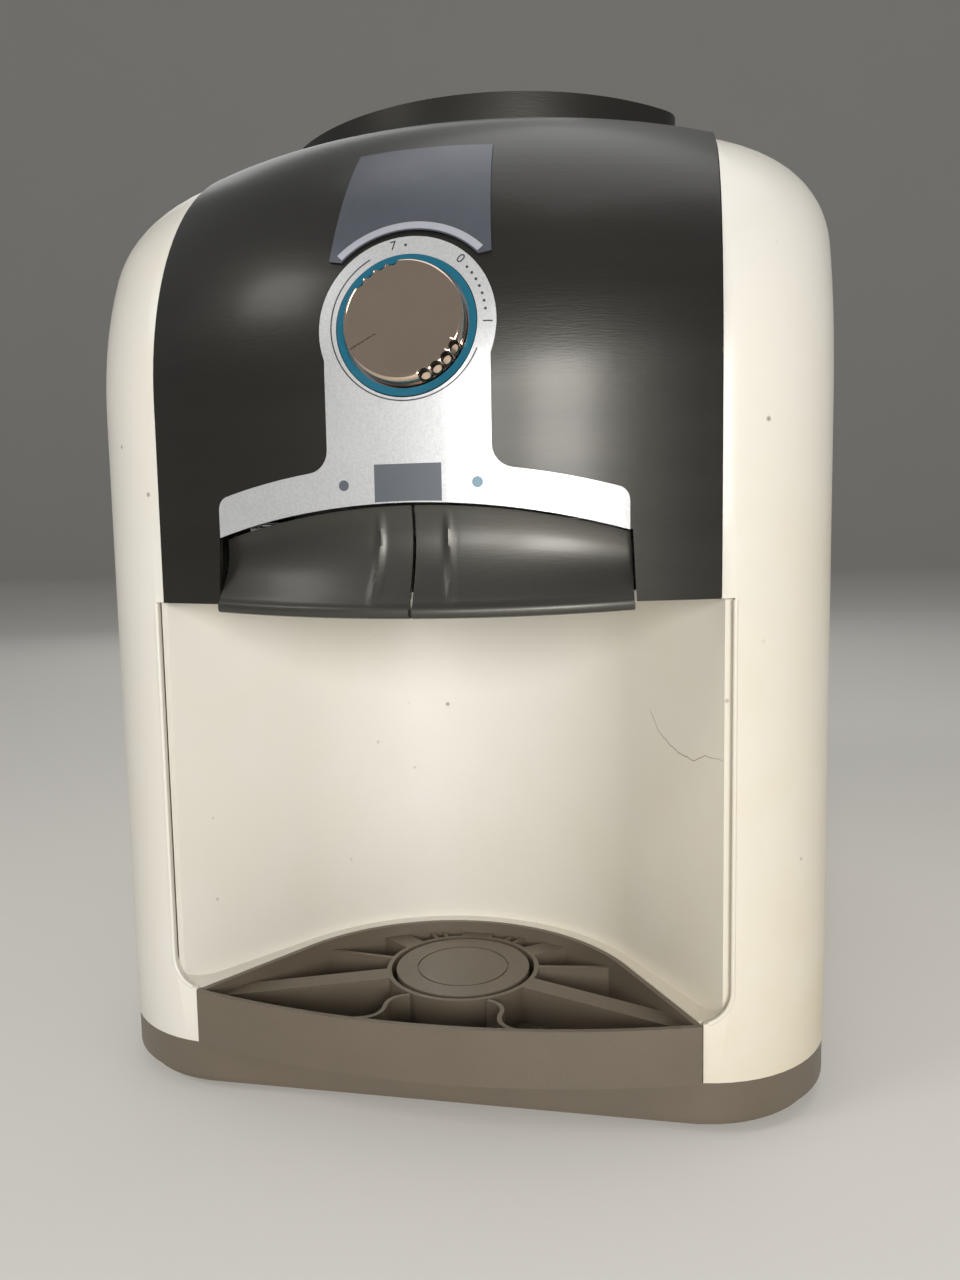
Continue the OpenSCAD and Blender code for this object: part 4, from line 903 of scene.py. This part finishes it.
class DISPENSER_OT_paddles(bpy.types.Operator):
    """The two press paddles: a scooped face under a thin top edge, a raised rib and a rounded lip"""

    bl_idname = "dispenser.paddles"
    bl_label = "Paddles"

    def execute(self, context):
        axis_y, low, top, arc, half, gap = 235.0, 202.0, 242.5, 275.0, 78.6, 0.6
        face, lip, thick = 254.5, 261.5, 3.0
        columns, steps = 64, 28
        # the rounded lower lip and the underside: out from the lip's radius, up from the lower edge
        edge = ((0.75, 4.3), (1.3, 3.4), (1.45, 2.3), (1.25, 1.2), (0.7, 0.35), (-0.4, 0.0), (-8.6, 0.0),
                (-9.0, 0.4), (-9.0, 2.0), (-8.4, 2.3), (-3.6, 2.3))

        def scoop(v):
            """Radius of the scooped face about the panel's axis, from the top at 0 to the lip at 1."""
            hollow = 1.9 * math.sin(math.pi * min(1.0, v * 1.05)) * (1 - v) ** 0.3
            return face + (lip - face) * v ** 2.1 - hollow

        def lifted(u):
            """How far the lower edge rises towards the outer end."""
            return low + 2.0 * u ** 2

        def across(u, z):
            """Half the paddles' width at a height, shared from the gap outwards."""
            return gap + (half - 0.055 * (z - low) - gap) * u

        def upper(x):
            return top - arc + math.sqrt(arc ** 2 - x ** 2)

        for side, body in ((-1, "left_paddle"), (1, "right_paddle")):
            name = body + "_face"
            rows = []
            profile = [k / steps for k in range(steps + 1)]
            for v in profile:
                row = []
                for j in range(columns + 1):
                    u = j / columns
                    x = across(u, low + 5 + (1 - v) * 34)
                    z = upper(x) + (lifted(x / half) + 5 - upper(x)) * v
                    x = across(u, z)
                    r = scoop(v)
                    rib = math.exp(-((x - (12.5 + 2.2 * v * v)) / (0.9 + 0.5 * v)) ** 2)
                    r += 0.9 * rib * math.sin(math.pi * min(1, max(0, (v - 0.05) / 0.97))) ** 0.6
                    r -= 0.7 * (1 - math.tanh((x - 13.5) / 1.6)) / 2 * math.sin(math.pi * v)
                    row.append((x, r, z))
                rows.append(row)
            for dr, dz in edge:
                rows.append([(across(j / columns, low + dz), lip + dr, lifted(j / columns) + dz)
                             for j in range(columns + 1)])
            for v in reversed(profile[::2]):
                row = []
                for j in range(columns + 1):
                    x, r, z = rows[int(round(v * steps))][j]
                    row.append((x, scoop(v) - thick, z if v < 0.97 else z + 1.5))
                rows.append(row)
            points = [[front(side * x, axis_y - math.sqrt(r * r - x * x), z) for x, r, z in row]
                      for row in rows]
            points.append(points[0])
            piece = from_rows(name, points)
            edit(piece)
            bpy.ops.mesh.select_all(action="SELECT")
            bpy.ops.mesh.remove_doubles(threshold=0.000005)
            mesh = bmesh.from_edit_mesh(piece.data)
            for e in mesh.edges:
                e.select = e.is_boundary
            bpy.ops.mesh.fill()
            face_out()
            smooth(piece, 38)
            keep(piece, name, body, FINISHES["paddle_charcoal_lit"])
            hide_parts(body)
        return {"FINISHED"}


class DISPENSER_OT_knob(bpy.types.Operator):
    """Plated knob with a softly crowned face, two runs of finger grips and an engraved pointer"""

    bl_idname = "dispenser.knob"
    bl_label = "Knob"

    def execute(self, context):
        radius, height, back = 21.5, 5.0, -2.3
        around = 480
        grips = [start + 12.8 * k for start in (-67.5, 100.5) for k in range(4)]
        grip_radius, grip_at = 2.2, radius - 0.1

        def notched(a, r):
            """The radius at an angle, drawn in where a grip crosses it."""
            for grip in grips:
                off = math.radians(a - grip)
                side = abs(grip_at * math.sin(off))
                if abs(off) < 0.3 and side < grip_radius:
                    r = min(r, grip_at * math.cos(off) - math.sqrt(grip_radius ** 2 - side ** 2))
            return r

        profile = [(19.0, back), (21.0, back), (radius, back + 0.6), (radius, 0.5)]
        # the rounded rim and the crowned face, down from the full height
        profile += [(r, height - down) for r, down in (
            (radius, 1.6), (21.4, 1.0), (21.1, 0.5), (20.6, 0.15), (19.9, 0.0),
            (17.0, 0.1), (13, 0.22), (8, 0.3), (3, 0.34), (0.4, 0.35))]
        rows = []
        for r, z in profile:
            ring = []
            for k in range(around):
                a = 360 * k / around
                turn = math.radians(a)
                drawn = (notched((a + 180) % 360 - 180, r) if z > 0 else r) * MM
                ring.append(dial_point(drawn * math.cos(turn), drawn * math.sin(turn), z * MM))
            rows.append(ring)
        knob = from_rows("temperature_knob", rows, closed=True)
        centre = dial_point(0, 0, height * MM)
        cap(knob, lambda e: (e.verts[0].co - centre).length < 0.002)
        # pointer: a shallow rounded slot
        deselect()
        bpy.ops.mesh.primitive_cylinder_add(vertices=24, radius=1.1 * MM, depth=1.2 * MM)
        slot = context.active_object
        mesh = edit(slot)
        for v in mesh.verts:
            v.co.y += 11.4 * MM if v.co.y < 0 else 22.6 * MM
        face_out()
        turn = Matrix.Rotation(math.radians(-240), 4, "Z")
        slot.matrix_world = Matrix.Translation(dial_point(0, 0, (height - 0.1) * MM)) @ DIAL_FRAME @ turn
        settle(slot)
        cut(knob, slot)
        smooth(knob, 32)
        keep(knob, "temperature_knob", "knob", FINISHES["knob_chrome"])
        # painted shade: the walls of the grips and of the pointer lie in shadow, so they get a dark finish
        knob.data.materials.append(FINISHES["grip_shade"])
        for face in knob.data.polygons:
            off = face.center - DIAL_AT
            out = off.dot(DIAL_OUT)
            upright = abs(face.normal.dot(DIAL_OUT)) < 0.3
            within = (off - DIAL_OUT * out).length < (radius - 0.35) * MM
            if upright and within and out > 0.4 * MM:
                face.material_index = 1
        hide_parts("knob")
        return {"FINISHED"}


class DISPENSER_OT_dial_marks(bpy.types.Operator):
    """Plain numbers, dots and the scale line round the knob"""

    bl_idname = "dispenser.dial_marks"
    bl_label = "Dial marks"

    def execute(self, context):
        label = NODES["label_plate"]
        line = ring_strip(27.15 * MM, 27.6 * MM, 112, 330, 72)
        wrap(line, label)
        keep(line, "dial_scale_line", "cabinet", FINISHES["ink"])
        dots = []
        for a in [358, *(49 + 5.7 * k for k in range(7))]:
            deselect()
            bpy.ops.mesh.primitive_circle_add(vertices=20, radius=0.5 * MM, fill_type="NGON")
            dot = context.active_object
            dot.matrix_world = Matrix.Translation(self.around(a, 28.4 * MM)) @ DIAL_FRAME
            settle(dot)
            dots.append(dot)
        deselect()
        for dot in dots:
            dot.select_set(True)
        context.view_layer.objects.active = dots[0]
        bpy.ops.object.join()
        wrap(dots[0], label)
        keep(dots[0], "dial_scale_dots", "cabinet", FINISHES["ink"])
        for text, a in (("0", 41), ("1", 92), ("7", 349)):
            deselect()
            bpy.ops.object.text_add()
            number = context.active_object
            number.data.body = text
            number.data.size = sizes().numeral * 1.35
            number.data.align_x = "CENTER"
            number.data.align_y = "CENTER"
            number.data.resolution_u = 4
            upright = Matrix.Rotation(-math.radians(a), 4, "Z")
            number.matrix_world = Matrix.Translation(self.around(a, 28.9 * MM)) @ DIAL_FRAME @ upright
            bpy.ops.object.convert(target="MESH")
            number = context.active_object
            settle(number)
            wrap(number, label)
            keep(number, "dial_number_" + text, "cabinet", FINISHES["ink"])
        return {"FINISHED"}

    def around(self, degrees, radius):
        """A point ahead of the dial, clockwise from its top."""
        turn = math.radians(degrees)
        return dial_point(radius * math.sin(turn), radius * math.cos(turn), MARK_AHEAD)


class DISPENSER_OT_label_marks(bpy.types.Operator):
    """Dark field, two dots and the pale crescent on the label films"""

    bl_idname = "dispenser.label_marks"
    bl_label = "Label marks"

    def execute(self, context):
        label = NODES["label_plate"]
        ahead = FRONT_Y - 0.05
        field_wide, field_high, field_z = 24.4 * MM, 13.0 * MM, 0.2503
        label_arc = 0.275
        # dark field in the middle of the label
        deselect()
        bpy.ops.mesh.primitive_grid_add(x_subdivisions=16, y_subdivisions=8, size=1)
        field = context.active_object
        field.matrix_world = (Matrix.Translation((0, ahead, field_z))
                              @ Matrix.Rotation(math.radians(90), 4, "X")
                              @ Matrix.Diagonal((field_wide, field_high, 1, 1)))
        settle(field)
        mesh = edit(field)
        for vert in mesh.verts:
            # the field's lower edge keeps to the label's arch
            up = (vert.co.z - field_z) / field_high + 0.5
            vert.co.z -= (1 - up) * vert.co.x ** 2 / (2 * label_arc)
        bmesh.update_edit_mesh(field.data)
        close()
        wrap(field, label)
        keep(field, "label_dark_field", "cabinet", FINISHES["band"])
        for name, x, finish in (("label_dot_left", -23.8, "band"), ("label_dot_right", 24.8, "teal_print")):
            deselect()
            bpy.ops.mesh.primitive_circle_add(vertices=32, radius=sizes().dot, fill_type="TRIFAN",
                                              location=(x * MM, ahead, 0.2498),
                                              rotation=(math.radians(90), 0, 0))
            dot = context.active_object
            settle(dot)
            wrap(dot, label)
            keep(dot, name, "cabinet", FINISHES[finish])
        crescent = ring_strip(34.9 * MM, 37.6 * MM, -45, 45, 60)
        wrap(crescent, NODES["name_plate"])
        keep(crescent, "name_plate_crescent", "cabinet", FINISHES["pale"])
        return {"FINISHED"}


class DISPENSER_PT_panel(bpy.types.Panel):
    """Dispenser pieces and their sizes"""

    bl_label = "Dispenser"
    bl_idname = "DISPENSER_PT_panel"
    bl_space_type = "VIEW_3D"
    bl_region_type = "UI"
    bl_category = "Dispenser"

    def draw(self, context):
        for group in (context.scene.dispenser_colours, context.scene.dispenser_sizes):
            for name in group.bl_rna.properties.keys():
                if name not in ("rna_type", "name"):
                    self.layout.prop(group, name)
        for operator in OPERATORS:
            self.layout.operator(operator.bl_idname)


OPERATORS = (
    DISPENSER_OT_stage,
    DISPENSER_OT_lead,
    DISPENSER_OT_finishes,
    DISPENSER_OT_cabinet,
    DISPENSER_OT_hairline,
    DISPENSER_OT_paddles,
    DISPENSER_OT_knob,
    DISPENSER_OT_dial_marks,
    DISPENSER_OT_label_marks,
)
CLASSES = (DispenserColours, DispenserSizes, *OPERATORS, DISPENSER_PT_panel)


def register():
    for cls in CLASSES:
        bpy.utils.register_class(cls)
    bpy.types.Scene.dispenser_colours = bpy.props.PointerProperty(type=DispenserColours)
    bpy.types.Scene.dispenser_sizes = bpy.props.PointerProperty(type=DispenserSizes)


def unregister():
    del bpy.types.Scene.dispenser_sizes
    del bpy.types.Scene.dispenser_colours
    for cls in reversed(CLASSES):
        bpy.utils.unregister_class(cls)


def main():
    register()
    for name in [o.name for o in bpy.data.objects if o.type in ("CAMERA", "LIGHT") or o.name == "Cube"]:
        bpy.data.objects.remove(bpy.data.objects[name])
    build_groups()
    FINISHES.update(build_finishes())
    bpy.ops.dispenser.stage()
    bpy.ops.dispenser.lead()
    bpy.ops.dispenser.finishes()
    bpy.ops.dispenser.cabinet()
    bpy.ops.dispenser.hairline()
    bpy.ops.dispenser.paddles()
    bpy.ops.dispenser.knob()
    bpy.ops.dispenser.dial_marks()
    bpy.ops.dispenser.label_marks()


if __name__ == "__main__":
    main()
